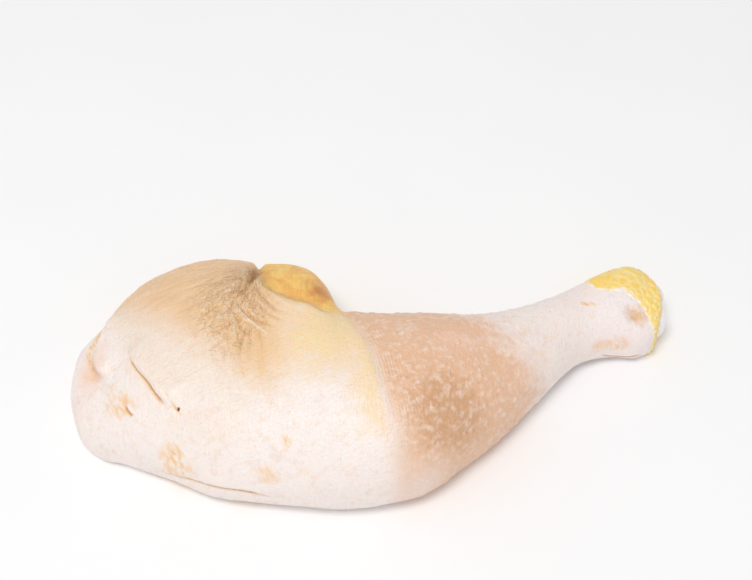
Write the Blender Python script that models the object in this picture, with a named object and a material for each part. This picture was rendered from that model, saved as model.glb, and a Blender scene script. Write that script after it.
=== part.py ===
"""A raw chicken leg quarter, thigh and drumstick joined, lying skin side up.

The hip end of the thigh points to -X and the cut hock to +X. The knee bends towards -Y, so the
fold at the back of the knee is on +Y. Every size is in millimetres until the last step, which
turns the meshes into metres and stands the leg on the ground over the origin.
"""

import math

import bmesh
import bpy
import numpy as np
from mathutils import Vector, noise

MM = 0.001

# Plan outlines of the whole leg, (x, y), and its heights, (x, z), from the hip end to the hock.
HIP_END, HOCK_END = -107.0, 109.5
NEAR_EDGE = (
    (-107, -11), (-95, -22), (-84, -26), (-72, -31), (-52, -39.5), (-34, -42.5), (-14, -45), (4, -44),
    (19, -40), (34, -29), (49, -15), (64, 1.5), (79, 17), (91, 20.5), (101, 21), (106, 24), (109.5, 30),
)
FAR_EDGE = (
    (-107, 15), (-100, 22), (-95, 34.5), (-86, 46.5), (-74, 53), (-56, 57), (-40, 54.5), (-27, 52.5),
    (-20, 48), (-15, 40), (-11, 30), (-4, 28), (19, 27), (49, 30), (64, 37), (79, 46), (91, 52.5),
    (102, 54.5), (109.5, 47),
)
CREST = (
    (-107, 12), (-95, 23), (-80, 32), (-60, 37), (-40, 38.5), (-14, 40), (19, 40), (36, 36.5),
    (52, 31.5), (66, 27), (79, 24.5), (95, 25), (109.5, 21),
)
BELLY = (
    (-107, -3), (-95, -3.5), (-20, -3.5), (19, -3), (40, -1.5), (58, 1.5), (72, 2.5), (86, 0),
    (98, -1.5), (109.5, -1),
)
WIDEST_HEIGHT = (
    (-107, 4), (-90, 8), (-50, 11), (-17, 14), (15, 16.5), (45, 15.5), (75, 12), (109.5, 10.5),
)
TOP_FULLNESS, BELLY_FULLNESS = 2.25, 3.2
HIP_ROUNDING, HOCK_ROUNDING = 6.0, 2.0

# Broad swellings and hollows: place, radii along each axis and height.
SWELLINGS = (
    ((-15, -2, 40), (21, 24, 14), 1.6),
    ((-62, 8, 36), (26, 30, 14), 1.0),
    ((22, -12, 40), (22, 20, 14), 1.2),
    ((-42, 14, 37), (7, 26, 14), -1.8),
    ((-93, -6, 22), (10, 18, 14), -1.0),
    ((98, 27, 24), (4.5, 4.5, 6), -2.2),
    ((84, 45, 22), (14, 5, 10), 0.8),
    ((110, 37.5, 11), (8, 10, 7), -3.0),
)

# Folds: a line over the skin, the step up on its left, the depth and half width of its groove.
BACK_OF_KNEE_LINE = (
    (-41, 47, 24), (-40, 41, 31), (-36, 31, 36), (-31, 26, 37), (-26, 23, 38), (-21, 21, 38),
    (-15, 17, 38), (-9, 19, 34),
)
KNEE_CREASE_LINE = (
    (-10, 24, 30), (-6, 13, 37), (-2, 5, 39), (1, -3, 40), (3, -11, 40), (5, -20, 39),
)
SLIT_LINE = ((-85, 6, 29), (-81, -1, 30), (-76, -8, 31), (-72, -14, 31), (-67, -20, 30))
SHORT_SLIT_LINE = ((-69, -12, 32), (-66, -18, 31), (-62, -23, 30))
HIP_FLAP_LINE = ((-92, 28, 22), (-96, 17, 22), (-98, 8, 21.5), (-96.5, 1, 23), (-91, -4, 25))
HEM_LINE = (
    (-72, -31, 8), (-62, -35, 9), (-52, -39, 9.5), (-42, -41, 11), (-33, -42.5, 12), (-26, -43.5, 14),
)
HOCK_CUT_LINE = ((85, 20, 9), (92, 20.5, 7.5), (99, 20.5, 7), (106, 23, 8))
NOTCH_LINE = ((-41, 56, 14), (-41, 48, 24), (-40.5, 38, 32), (-42, 27, 36), (-44, 15, 37.5))
FOLDS = (
    (BACK_OF_KNEE_LINE, -2.6, 1.4, 1.8),
    (KNEE_CREASE_LINE, 1.5, 0.7, 1.8),
    (SLIT_LINE, 0.9, 0.9, 1.3),
    (SHORT_SLIT_LINE, 0.4, 0.5, 1.1),
    (HIP_FLAP_LINE, 1.2, 1.2, 2.0),
    (HEM_LINE, 0.7, 0.8, 1.3),
    (HOCK_CUT_LINE, 0.5, 0.9, 1.3),
    (NOTCH_LINE, 0.0, 2.6, 2.6),
)
STEP_RUNOUT = 9.0

# Wrinkles that fan out of the notch behind the knee, over the thigh.
WRINKLE_COUNT = 8
WRINKLE_START, WRINKLE_LENGTH = (-42.0, 43.0), 38.0
WRINKLE_ANGLES = (math.radians(-150), math.radians(-62))
WRINKLE_HEIGHT, WRINKLE_WIDTH, WRINKLE_SWAY = 1.0, 1.7, 1.6
WRINKLE_POINTS, WRINKLE_GAP = 5, 6.0
THIGH_HEIGHT = 34.0

# The flesh of the thigh, bare on the underside inside a rim of skin.
FLESH_X = (-97.0, -15.0)
SKIN_RIM = 9.5
FLESH_WIDEST_HEIGHT, FLESH_DEPTH, FLESH_UNDERSIDE = 7.0, 0.6, 0.7
FLESH_FULLNESS, FLESH_PINCH, FLESH_END_ROUNDING = 5.0, 9.0, 16.0
MUSCLE_SEAMS = (
    ((-92, 30), (-70, 37), (-48, 36), (-26, 27)),
    ((-95, 12), (-74, 8), (-50, 15), (-22, 16)),
    ((-90, -8), (-70, -12), (-46, -8), (-22, 0)),
    ((-78, -20), (-58, -25), (-38, -26), (-20, -20)),
)
SEAM_DEPTH, SEAM_WIDTH = 2.2, 2.8

# The thigh bone's ball, bare in the flesh, and the gristle at the cut hock.
BALL_CENTRE, BALL_RADIUS = (-76.0, 22.0, 7.4), 6.6
BALL_RECESS_RADIUS, BALL_RECESS_DEPTH = 10.5, 3.0
GRISTLE_CENTRE, GRISTLE_RADII = (101.5, 38.0, 11.5), (10.4, 11.5, 8.0)
GRISTLE_WAIST, GRISTLE_WAIST_WIDTH, GRISTLE_SQUARENESS = 0.16, 3.0, 3.0

CLEARANCE = 0.4
MOUTH_TOP, MOUTH_STRETCH = 5.0, 2.6
SOFT_LUMP_SIZE, SOFT_LUMP_HEIGHT = 17.0, 0.5
GROUND, GROUND_SNAP = 0.0, 0.08

# Rings and segments of the spheres that the pieces are shaped from, and their triangles at last.
LEG_MESH, FLESH_MESH, BALL_MESH, GRISTLE_MESH = (150, 150), (110, 66), (20, 12), (24, 14)
LEG_TRIANGLES, FLESH_TRIANGLES, FLESH_CUTTER_TRIANGLES = 6200, 2000, 900


def clear_scene():
    for item in list(bpy.data.objects):
        bpy.data.objects.remove(item)


def read(outline, x):
    """The height of a smooth curve through the outline's points, at x."""
    xs = np.array([point[0] for point in outline], float)
    ys = np.array([point[1] for point in outline], float)
    slopes = np.gradient(ys, xs)
    i = np.clip(np.searchsorted(xs, x) - 1, 0, len(xs) - 2)
    run = xs[i + 1] - xs[i]
    t = np.clip((x - xs[i]) / run, 0, 1)
    start = (1 + 2 * t) * (1 - t) ** 2 * ys[i] + t * (1 - t) ** 2 * run * slopes[i]
    end = t ** 2 * (3 - 2 * t) * ys[i + 1] + t ** 2 * (t - 1) * run * slopes[i + 1]
    return start + end


def ramp(value, low, high):
    """0 below low, 1 above high and a smooth rise between them."""
    t = np.clip((value - low) / (high - low), 0, 1)
    return t * t * (3 - 2 * t)


def loft(points, ends, rounding, edges, heights, fullness, end_share=0.07):
    """Turns a unit sphere's points into a long form: its poles go to the ends along X, and each
    ring becomes a rounded section between the near and far edge, over and under the widest line."""
    share = np.arccos(np.clip(points[:, 2], -1, 1)) / math.pi
    turn = np.arctan2(points[:, 1], points[:, 0])
    first = np.clip(share / end_share, 0, 1) * math.pi / 2
    last = np.clip((1 - share) / end_share, 0, 1) * math.pi / 2
    middle = np.clip((share - end_share) / (1 - 2 * end_share), 0, 1)
    straight = ends[1] - ends[0] - rounding[0] - rounding[1]
    x = ends[0] + rounding[0] * (1 - np.cos(first)) + middle * straight + rounding[1] * np.cos(last)
    ring = np.sin(first) * np.sin(last) ** 0.6
    near, far, top, belly, widest = (read(line, x) for line in (*edges, *heights))
    across, up = np.cos(turn), np.sin(turn)
    power = np.where(up >= 0, fullness[0], fullness[1])
    squareness = (np.abs(across) ** power + np.abs(up) ** power) ** (1 / power)
    across, up = across / squareness, up / squareness
    y = (near + far) / 2 + (far - near) / 2 * across * ring
    z = np.where(up >= 0, widest + (top - widest) * up * ring, widest + (widest - belly) * up * ring)
    return np.stack([x, y, z], axis=1)


def curve_through(line, steps=6):
    """A finer line that runs smoothly through the given points."""
    line = np.array(line, float)
    shares = np.arange(len(line), dtype=float)
    fine = np.linspace(0, len(line) - 1, (len(line) - 1) * steps + 1)
    return np.stack([read(np.stack([shares, column], axis=1), fine) for column in line.T], axis=1)


def from_line(points, normals, line, reach=9.0):
    """For each point of the skin, its distance from the line, positive on the left as seen from
    outside, and how far along the line it lies, from 0 to 1. The distance lies in the skin."""
    line = curve_through(line)
    best = np.full(len(points), 1e3)
    side = np.ones(len(points))
    along = np.zeros(len(points))
    for i in range(len(line) - 1):
        start, run = line[i], line[i + 1] - line[i]
        t = np.clip((points - start) @ run / (run @ run), 0, 1)
        offset = points - start - t[:, None] * run
        height = np.sum(offset * normals, axis=1)
        flat = offset - height[:, None] * normals
        distance = np.where(np.abs(height) < reach, np.linalg.norm(flat, axis=1), 1e3)
        nearer = distance < best
        left = np.sum(np.cross(normals, run) * flat, axis=1) >= 0
        best = np.where(nearer, distance, best)
        side = np.where(nearer, np.where(left, 1.0, -1.0), side)
        along = np.where(nearer, (i + t) / (len(line) - 1), along)
    return best * side, along


def fold(points, normals, line, step, groove, width):
    """The skin's rise over a fold: a step that runs out to the left, and a groove along it."""
    distance, along = from_line(points, normals, line)
    fade = ramp(along, 0, 0.12) * ramp(1 - along, 0, 0.18)
    runout = np.exp(-(np.maximum(distance, 0) / STEP_RUNOUT) ** 2)
    raised = step * ramp(distance, -width, width) * runout
    cut = groove * np.exp(-(distance / width) ** 2)
    return (raised - cut) * fade


def swelling(points, place, radii, height):
    apart = (points - np.array(place)) / np.array(radii)
    return height * np.exp(-np.sum(apart ** 2, axis=1))


def wrinkle_lines():
    """Wrinkles that start at the notch and spread over the thigh like the ribs of a fan."""
    lines = []
    for i in range(WRINKLE_COUNT):
        share = i / (WRINKLE_COUNT - 1)
        angle = WRINKLE_ANGLES[0] + (WRINKLE_ANGLES[1] - WRINKLE_ANGLES[0]) * share
        length = WRINKLE_LENGTH * (0.6 + 0.4 * math.sin(math.pi * share + 0.4))
        line = []
        for j in range(WRINKLE_POINTS):
            out = WRINKLE_GAP + (length - WRINKLE_GAP) * j / (WRINKLE_POINTS - 1)
            sway = WRINKLE_SWAY * math.sin(1.7 * j + 2.3 * i)
            x = WRINKLE_START[0] + out * math.cos(angle) - sway * math.sin(angle)
            y = WRINKLE_START[1] + out * math.sin(angle) + sway * math.cos(angle)
            line.append((x, y, THIGH_HEIGHT))
        lines.append(line)
    return lines


def soft_lumps(points):
    """Low, wide unevenness of soft flesh under skin."""
    return np.array([
        SOFT_LUMP_HEIGHT * noise.noise(Vector(point) / SOFT_LUMP_SIZE) for point in points
    ])


def pushed_out(points, normals, rise):
    """The points moved along their normals, with whatever would pass the ground flattened on it."""
    moved = points + normals * rise[:, None]
    moved[:, 2] = np.maximum(moved[:, 2], GROUND)
    return moved


def leg_forms(points, normals):
    rise = soft_lumps(points)
    for place, radii, height in SWELLINGS:
        rise += swelling(points, place, radii, height)
    return pushed_out(points, normals, rise)


def leg_folds(points, normals):
    rise = np.zeros(len(points))
    skin_side = ramp(normals[:, 2], -0.3, 0.1)
    for line, step, groove, width in FOLDS:
        rise += fold(points, normals, line, step, groove, width)
    for line in wrinkle_lines():
        distance, along = from_line(points, normals, line, reach=25.0)
        fade = ramp(along, 0, 0.2) * ramp(1 - along, 0, 0.5) * skin_side
        rise += WRINKLE_HEIGHT * np.exp(-(distance / WRINKLE_WIDTH) ** 2) * fade
    return pushed_out(points, normals, rise)


def leg_shape(points, _normals):
    heights = (CREST, BELLY, WIDEST_HEIGHT)
    rounding = (HIP_ROUNDING, HOCK_ROUNDING)
    fullness = (TOP_FULLNESS, BELLY_FULLNESS)
    shaped = loft(points, (HIP_END, HOCK_END), rounding, (NEAR_EDGE, FAR_EDGE), heights, fullness)
    shaped[:, 2] = np.maximum(shaped[:, 2], GROUND)
    return shaped


def flesh_shape(points, _normals):
    """The thigh's form again, inside its skin: a rim's width in from each edge."""
    xs = np.linspace(FLESH_X[0], FLESH_X[1], 9)
    shares = (xs - FLESH_X[0]) / (FLESH_X[1] - FLESH_X[0])
    pinch = FLESH_PINCH * np.abs(2 * shares - 1) ** 4
    near = list(zip(xs, read(NEAR_EDGE, xs) + SKIN_RIM + pinch))
    far = list(zip(xs, read(FAR_EDGE, xs) - SKIN_RIM - pinch))
    widest = list(zip(xs, np.full_like(xs, FLESH_WIDEST_HEIGHT)))
    top = list(zip(xs, FLESH_WIDEST_HEIGHT + FLESH_DEPTH * (read(CREST, xs) - FLESH_WIDEST_HEIGHT)))
    belly = list(zip(xs, np.full_like(xs, FLESH_UNDERSIDE)))
    fullness = (TOP_FULLNESS, FLESH_FULLNESS)
    ends = (FLESH_END_ROUNDING, FLESH_END_ROUNDING)
    return loft(points, FLESH_X, ends, (near, far), (top, belly, widest), fullness, end_share=0.22)


def muscles(points, normals):
    """Bundles of muscle on the bare side, with a seam between each two and a dip round the ball."""
    bare = ramp(-normals[:, 2], 0.2, 0.8)
    deep = np.zeros(len(points))
    for seam in MUSCLE_SEAMS:
        line = [(x, y, FLESH_UNDERSIDE) for x, y in seam]
        distance, _along = from_line(points, normals, line)
        deep += SEAM_DEPTH * np.exp(-(distance / SEAM_WIDTH) ** 2)
    away = np.hypot(points[:, 0] - BALL_CENTRE[0], points[:, 1] - BALL_CENTRE[1])
    deep = np.maximum(deep, BALL_RECESS_DEPTH * (1 - ramp(away, BALL_RADIUS - 1, BALL_RECESS_RADIUS)))
    moved = points.copy()
    moved[:, 2] += deep * bare
    return moved


def gristle_shape(points, _normals):
    """Two rounded heads side by side with a waist between them, like a pulley."""
    power = GRISTLE_SQUARENESS
    squareness = np.sum(np.abs(points) ** power, axis=1) ** (1 / power)
    scaled = points / squareness[:, None] * np.array(GRISTLE_RADII)
    waist = 1 - GRISTLE_WAIST * np.exp(-(scaled[:, 1] / GRISTLE_WAIST_WIDTH) ** 2)
    scaled[:, 0] *= waist
    scaled[:, 2] *= waist
    return scaled + np.array(GRISTLE_CENTRE)


def ball_shape(points, _normals):
    return points * BALL_RADIUS + np.array(BALL_CENTRE)


def grown(points, normals):
    return points + normals * CLEARANCE


def opened_below(points, _normals):
    """Carries the lowest part of a cutter down through the ground, so that it cuts a mouth."""
    moved = points.copy()
    below = moved[:, 2] < MOUTH_TOP
    moved[below, 2] = MOUTH_TOP + MOUTH_STRETCH * (moved[below, 2] - MOUTH_TOP)
    return moved


def shaped_object(name, sphere, stages, material=None):
    """An object from a sphere of the given rings, put through each stage in turn."""
    mesh = bmesh.new()
    bmesh.ops.create_uvsphere(mesh, u_segments=sphere[0], v_segments=sphere[1], radius=1.0)
    for stage in stages:
        points = np.array([vert.co[:] for vert in mesh.verts])
        normals = np.array([vert.normal[:] for vert in mesh.verts])
        for vert, place in zip(mesh.verts, stage(points, normals)):
            vert.co = place
        mesh.normal_update()
        bmesh.ops.recalc_face_normals(mesh, faces=mesh.faces)
        mesh.normal_update()
    bmesh.ops.triangulate(mesh, faces=mesh.faces)
    data = bpy.data.meshes.new(name)
    mesh.to_mesh(data)
    mesh.free()
    data.shade_smooth()
    item = bpy.data.objects.new(name, data)
    bpy.context.scene.collection.objects.link(item)
    if material:
        data.materials.append(material)
    return item


def apply_modifiers(item):
    """Keeps the mesh as its modifiers leave it."""
    graph = bpy.context.evaluated_depsgraph_get()
    result = bpy.data.meshes.new_from_object(item.evaluated_get(graph))
    result.name = item.name
    item.modifiers.clear()
    item.data = result


def thin_out(item, triangles):
    """Fewer triangles, kept where the form bends."""
    thinner = item.modifiers.new("thin out", "DECIMATE")
    thinner.ratio = triangles / len(item.data.polygons)
    apply_modifiers(item)


def lay_flat(item):
    """Every point that is next to the ground is on it, so that the contact patch is a true plane."""
    for vert in item.data.vertices:
        if vert.co.z < GROUND + GROUND_SNAP:
            vert.co.z = GROUND


def cut(item, cutter):
    cutter.hide_render = True
    cutter.display_type = "WIRE"
    knife = item.modifiers.new("cut", "BOOLEAN")
    knife.operation = "DIFFERENCE"
    knife.object = cutter
    apply_modifiers(item)
    bpy.data.objects.remove(cutter)


def make_material(name, colour, roughness):
    material = bpy.data.materials.new(name)
    material.use_nodes = True
    shader = material.node_tree.nodes["Principled BSDF"]
    shader.inputs["Base Color"].default_value = (*colour, 1)
    shader.inputs["Roughness"].default_value = roughness
    shader.inputs["Metallic"].default_value = 0.0
    return material


def make_leg():
    skin = make_material("pale skin", (0.87, 0.64, 0.42), 0.42)
    leg = shaped_object("leg", LEG_MESH, (leg_shape, leg_forms, leg_folds), skin)
    thin_out(leg, LEG_TRIANGLES)
    lay_flat(leg)
    return leg


def make_flesh():
    red = make_material("thigh flesh", (0.62, 0.2, 0.17), 0.35)
    flesh = shaped_object("thigh_meat", FLESH_MESH, (flesh_shape, muscles), red)
    thin_out(flesh, FLESH_TRIANGLES)
    return flesh


def make_ball():
    white = make_material("ball gristle", (0.9, 0.86, 0.83), 0.25)
    return shaped_object("femur_head", BALL_MESH, (ball_shape,), white)


def make_gristle():
    pale = make_material("hock gristle", (0.88, 0.83, 0.78), 0.3)
    return shaped_object("hock_gristle", GRISTLE_MESH, (gristle_shape,), pale)


def stand_on_origin(items):
    """Puts the ground under the middle of the leg at the origin and turns millimetres into metres."""
    corners = np.array([vert.co[:] for item in items for vert in item.data.vertices])
    low, high = corners.min(axis=0), corners.max(axis=0)
    shift = Vector((-(low[0] + high[0]) / 2, -(low[1] + high[1]) / 2, -low[2]))
    for item in items:
        for vert in item.data.vertices:
            vert.co = (vert.co + shift) * MM
        item.data.update()


clear_scene()
leg = make_leg()
flesh = make_flesh()
ball = make_ball()
gristle = make_gristle()
flesh_cutter = shaped_object("flesh cutter", FLESH_MESH, (flesh_shape, grown, opened_below))
thin_out(flesh_cutter, FLESH_CUTTER_TRIANGLES)
cut(leg, flesh_cutter)
cut(leg, shaped_object("gristle cutter", GRISTLE_MESH, (gristle_shape, grown)))
cut(flesh, shaped_object("ball cutter", BALL_MESH, (ball_shape, grown)))
stand_on_origin([leg, flesh, ball, gristle])
for made in (leg, flesh, ball, gristle):
    print(made.name, len(made.data.polygons), "faces")
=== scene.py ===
# %% [markdown]
# # A raw chicken leg quarter
#
# The object is one leg of a chicken, thigh and drumstick together, lying with its skin side up.
# Nearly all that shows is one soft, closed skin. It could be sculpted by hand, but then nothing
# could be measured or changed later. Here the skin is a sphere whose rings are moved onto named
# outlines, and every fold, bump and wrinkle is a small rule that pushes the skin in or out.
#
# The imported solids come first. They fix the size and the place of everything that follows.

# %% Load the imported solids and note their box
import math

import bmesh
import bpy
import numpy as np
from mathutils import Matrix, Vector, noise


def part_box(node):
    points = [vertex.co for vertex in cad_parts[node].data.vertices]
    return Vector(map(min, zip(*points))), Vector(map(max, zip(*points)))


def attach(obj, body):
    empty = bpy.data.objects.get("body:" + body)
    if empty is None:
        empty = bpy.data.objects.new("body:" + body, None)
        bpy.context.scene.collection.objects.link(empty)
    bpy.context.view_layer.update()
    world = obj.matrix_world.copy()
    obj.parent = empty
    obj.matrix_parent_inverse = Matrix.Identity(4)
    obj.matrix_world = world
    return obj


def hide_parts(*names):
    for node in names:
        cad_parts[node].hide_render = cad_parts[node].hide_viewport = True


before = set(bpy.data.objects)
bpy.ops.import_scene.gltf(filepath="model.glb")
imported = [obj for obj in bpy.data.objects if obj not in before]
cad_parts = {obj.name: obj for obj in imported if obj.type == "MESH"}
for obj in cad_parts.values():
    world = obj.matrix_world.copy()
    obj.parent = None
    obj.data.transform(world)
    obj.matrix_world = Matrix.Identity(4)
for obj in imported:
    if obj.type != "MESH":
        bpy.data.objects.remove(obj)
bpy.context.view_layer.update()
MM = 0.001

# %% [markdown]
# ## The outlines of the leg
#
# Seen from above, a leg has a near edge and a far edge. Seen from the side, it has a crest and a
# belly. Each is a short list of places, in millimetres, with a smooth curve through them. The hip
# end points to -X, the cut hock to +X, and the hollow of the knee is on +Y.

# %% Outlines and heights
HIP_END, HOCK_END = -107.0, 109.5
NEAR_EDGE = (
    (-107, -11), (-95, -22), (-84, -26), (-72, -31), (-52, -39.5), (-34, -42.5), (-14, -45), (4, -44),
    (19, -40), (34, -29), (49, -15), (64, 1.5), (79, 17), (91, 20.5), (101, 21), (106, 24), (109.5, 30),
)
FAR_EDGE = (
    (-107, 15), (-100, 22), (-95, 34.5), (-86, 46.5), (-74, 53), (-56, 57), (-40, 54.5), (-27, 52.5),
    (-20, 48), (-15, 40), (-11, 30), (-4, 28), (19, 27), (49, 30), (64, 37), (79, 46), (91, 52.5),
    (102, 54.5), (109.5, 47),
)
CREST = (
    (-107, 12), (-95, 23), (-80, 32), (-60, 37), (-40, 38.5), (-14, 40), (19, 40), (36, 36.5),
    (52, 31.5), (66, 27), (79, 24.5), (95, 25), (109.5, 21),
)
BELLY = (
    (-107, -3), (-95, -3.5), (-20, -3.5), (19, -3), (40, -1.5), (58, 1.5), (72, 2.5), (86, 0),
    (98, -1.5), (109.5, -1),
)
WIDEST_HEIGHT = (
    (-107, 4), (-90, 8), (-50, 11), (-17, 14), (15, 16.5), (45, 15.5), (75, 12), (109.5, 10.5),
)
TOP_FULLNESS, BELLY_FULLNESS = 2.25, 3.2
HIP_ROUNDING, HOCK_ROUNDING = 6.0, 2.0
GROUND = 0.0


def read(outline, x):
    """The height of a smooth curve through the outline's points, at x."""
    xs = np.array([point[0] for point in outline], float)
    ys = np.array([point[1] for point in outline], float)
    slopes = np.gradient(ys, xs)
    i = np.clip(np.searchsorted(xs, x) - 1, 0, len(xs) - 2)
    run = xs[i + 1] - xs[i]
    t = np.clip((x - xs[i]) / run, 0, 1)
    start = (1 + 2 * t) * (1 - t) ** 2 * ys[i] + t * (1 - t) ** 2 * run * slopes[i]
    end = t ** 2 * (3 - 2 * t) * ys[i + 1] + t ** 2 * (t - 1) * run * slopes[i + 1]
    return start + end


def ramp(value, low, high):
    """0 below low, 1 above high and a smooth rise between them."""
    t = np.clip((value - low) / (high - low), 0, 1)
    return t * t * (3 - 2 * t)


def hill(points, place, radii):
    """1 at the place, falling away like a soft hill with those radii along the axes."""
    apart = (points[:, :len(place)] - np.array(place)) / np.array(radii)
    return np.exp(-np.sum(apart ** 2, axis=1))


def bell(distance, width):
    """1 at no distance, falling away like a bell of the given width."""
    return np.exp(-(distance / width) ** 2)


def wobble(points, size, seed=0.0):
    """Smooth unevenness from -1 to 1, of the given size in millimetres."""
    shift = Vector((seed, 1.7 * seed, -0.6 * seed))
    return np.array([noise.noise(Vector(point) / size + shift) for point in points])


print("leg length in mm:", HOCK_END - HIP_END)

# %% [markdown]
# ## From a sphere to a leg
#
# A sphere already has what a leg needs: rings round it, and a closed tip at each end. Its poles go
# to the hip and the hock, and each ring becomes a rounded section. The section is fuller below,
# because soft meat spreads where it lies. The points of a ring are crowded towards the top, where
# the light shows every wrinkle, and the rings are crowded towards the notch behind the knee.

# %% A sphere whose rings follow the outlines
TOP_CROWDING = 0.3
WRINKLED_SHARE, RING_CROWDING = 0.29, 0.35
LAST_RINGS_POWER = 0.6
LATE_START = ((0.85, 0, 0.02), (0.15, 0.03, 0.1))


def from_pole(points):
    """How far each point of a unit sphere lies from its first pole, from 0 to 1."""
    return np.arccos(np.clip(points[:, 2], -1, 1)) / math.pi


def loft(points, ends, rounding, edges, heights, fullness, end_share=0.07, crowding=0.0, begin=0.0):
    """Turns a unit sphere's points into a long form: its poles go to the ends along X, and each
    ring becomes a rounded section between the near and far edge, over and under the widest line.
    A form that begins later than 0 leaves its first part out and starts there as a flat wall, a
    little narrower than the section behind it."""
    counted = from_pole(points)
    share = begin + (1 - begin) * counted
    turn = np.arctan2(points[:, 1], points[:, 0])
    turn = turn + crowding * np.cos(turn)
    first = np.clip(share / end_share, 0, 1) * math.pi / 2
    last = np.clip((1 - share) / end_share, 0, 1) * math.pi / 2
    middle = np.clip((share - end_share) / (1 - 2 * end_share), 0, 1)
    straight = ends[1] - ends[0] - rounding[0] - rounding[1]
    x = ends[0] + rounding[0] * (1 - np.cos(first)) + middle * straight + rounding[1] * np.cos(last)
    ring = np.sin(first) * np.sin(last) ** LAST_RINGS_POWER
    if begin > 0:
        ring = ring * sum(part * ramp(counted, low, high) for part, low, high in LATE_START)
    near, far, top, belly, widest = (read(line, x) for line in (*edges, *heights))
    across, up = np.cos(turn), np.sin(turn)
    power = np.where(up >= 0, fullness[0], fullness[1])
    squareness = (np.abs(across) ** power + np.abs(up) ** power) ** (1 / power)
    across, up = across / squareness, up / squareness
    y = (near + far) / 2 + (far - near) / 2 * across * ring
    z = np.where(up >= 0, widest + (top - widest) * up * ring, widest + (widest - belly) * up * ring)
    return np.stack([x, y, z], axis=1)


def linked(name, data):
    """A new object of the scene, made of the given mesh, lamp or camera."""
    item = bpy.data.objects.new(name, data)
    bpy.context.scene.collection.objects.link(item)
    return item


def smooth_object(name, mesh):
    """An object with a smooth surface from a finished mesh, which is then let go."""
    data = bpy.data.meshes.new(name)
    mesh.to_mesh(data)
    mesh.free()
    data.shade_smooth()
    return linked(name, data)


def shaped_object(name, sphere, stages):
    """An object from a sphere of the given segments and rings, put through each stage in turn."""
    mesh = bmesh.new()
    bmesh.ops.create_uvsphere(mesh, u_segments=sphere[0], v_segments=sphere[1], radius=1.0)
    for stage in stages:
        points = np.array([vert.co[:] for vert in mesh.verts])
        normals = np.array([vert.normal[:] for vert in mesh.verts])
        for vert, place in zip(mesh.verts, stage(points, normals)):
            vert.co = place
        mesh.normal_update()
        if stage is stages[0]:
            bmesh.ops.recalc_face_normals(mesh, faces=mesh.faces)
            mesh.normal_update()
    return smooth_object(name, mesh)


def points_and_normals(item):
    """The object's points and the directions that its skin faces there, as arrays."""
    count = len(item.data.vertices)
    points, normals = np.zeros(count * 3), np.zeros(count * 3)
    item.data.vertices.foreach_get("co", points)
    item.data.vertex_normals.foreach_get("vector", normals)
    return points.reshape(-1, 3), normals.reshape(-1, 3)


def pushed_out(points, normals, rise):
    """The points moved along their normals, with whatever would pass the ground flattened on it."""
    moved = points + normals * rise[:, None]
    moved[:, 2] = np.maximum(moved[:, 2], GROUND)
    return moved


def crowded_rings(points):
    """The unit sphere's points with its rings moved closer together where the skin is wrinkled."""
    share = from_pole(points)
    wave = np.sin(2 * math.pi * (share - WRINKLED_SHARE)) + math.sin(2 * math.pi * WRINKLED_SHARE)
    share = share - RING_CROWDING / (2 * math.pi) * wave
    return np.stack([points[:, 0], points[:, 1], np.cos(math.pi * share)], axis=1)


def leg_shape(points, _normals, begin=0.0):
    """The plain leg. One that begins later than 0 has evenly spaced rings."""
    if begin == 0:
        points = crowded_rings(points)
    heights = (CREST, BELLY, WIDEST_HEIGHT)
    rounding = (HIP_ROUNDING, HOCK_ROUNDING)
    fullness = (TOP_FULLNESS, BELLY_FULLNESS)
    edges, ends = (NEAR_EDGE, FAR_EDGE), (HIP_END, HOCK_END)
    shaped = loft(points, ends, rounding, edges, heights, fullness, crowding=TOP_CROWDING, begin=begin)
    shaped[:, 2] = np.maximum(shaped[:, 2], GROUND)
    return shaped


# %% [markdown]
# ## Swellings, folds and the notch behind the knee
#
# Soft flesh swells over the knee and the calf and sinks between them. The skin is looser than the
# meat, so it folds: behind the knee it is gathered into a notch with a plump lobe beside it, it
# laps over itself where thigh and drumstick meet, and it gapes in a slit near the hip. A fold is a
# line that runs over the skin, a step on its left side and a groove along it.

# %% Broad swellings
# Each row has a place, its radii and its height
SWELLINGS = (
    ((-15, -2, 40), (21, 24, 14), 1.6),
    ((-62, 8, 36), (26, 30, 14), 1.0),
    ((22, -12, 40), (22, 20, 14), 1.2),
    ((-42, 14, 37), (7, 26, 14), -1.8),
    ((-93, -6, 22), (10, 18, 14), -1.0),
    ((-101, 15, 15), (6, 11, 8), 3.4),
    ((-104, 2, 12), (6, 9, 7), 1.6),
    ((98, 27, 24), (3.8, 3.8, 6), -1.5),
    ((84, 45, 22), (14, 5, 10), 0.8),
    ((110, 37.5, 11), (8, 10, 7), -3.0),
)
SOFT_LUMP_SIZE, SOFT_LUMP_HEIGHT = 17.0, 0.5


def leg_forms(points, normals):
    rise = SOFT_LUMP_HEIGHT * wobble(points, SOFT_LUMP_SIZE)
    for place, radii, height in SWELLINGS:
        rise += height * hill(points, place, radii)
    return pushed_out(points, normals, rise)


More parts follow.
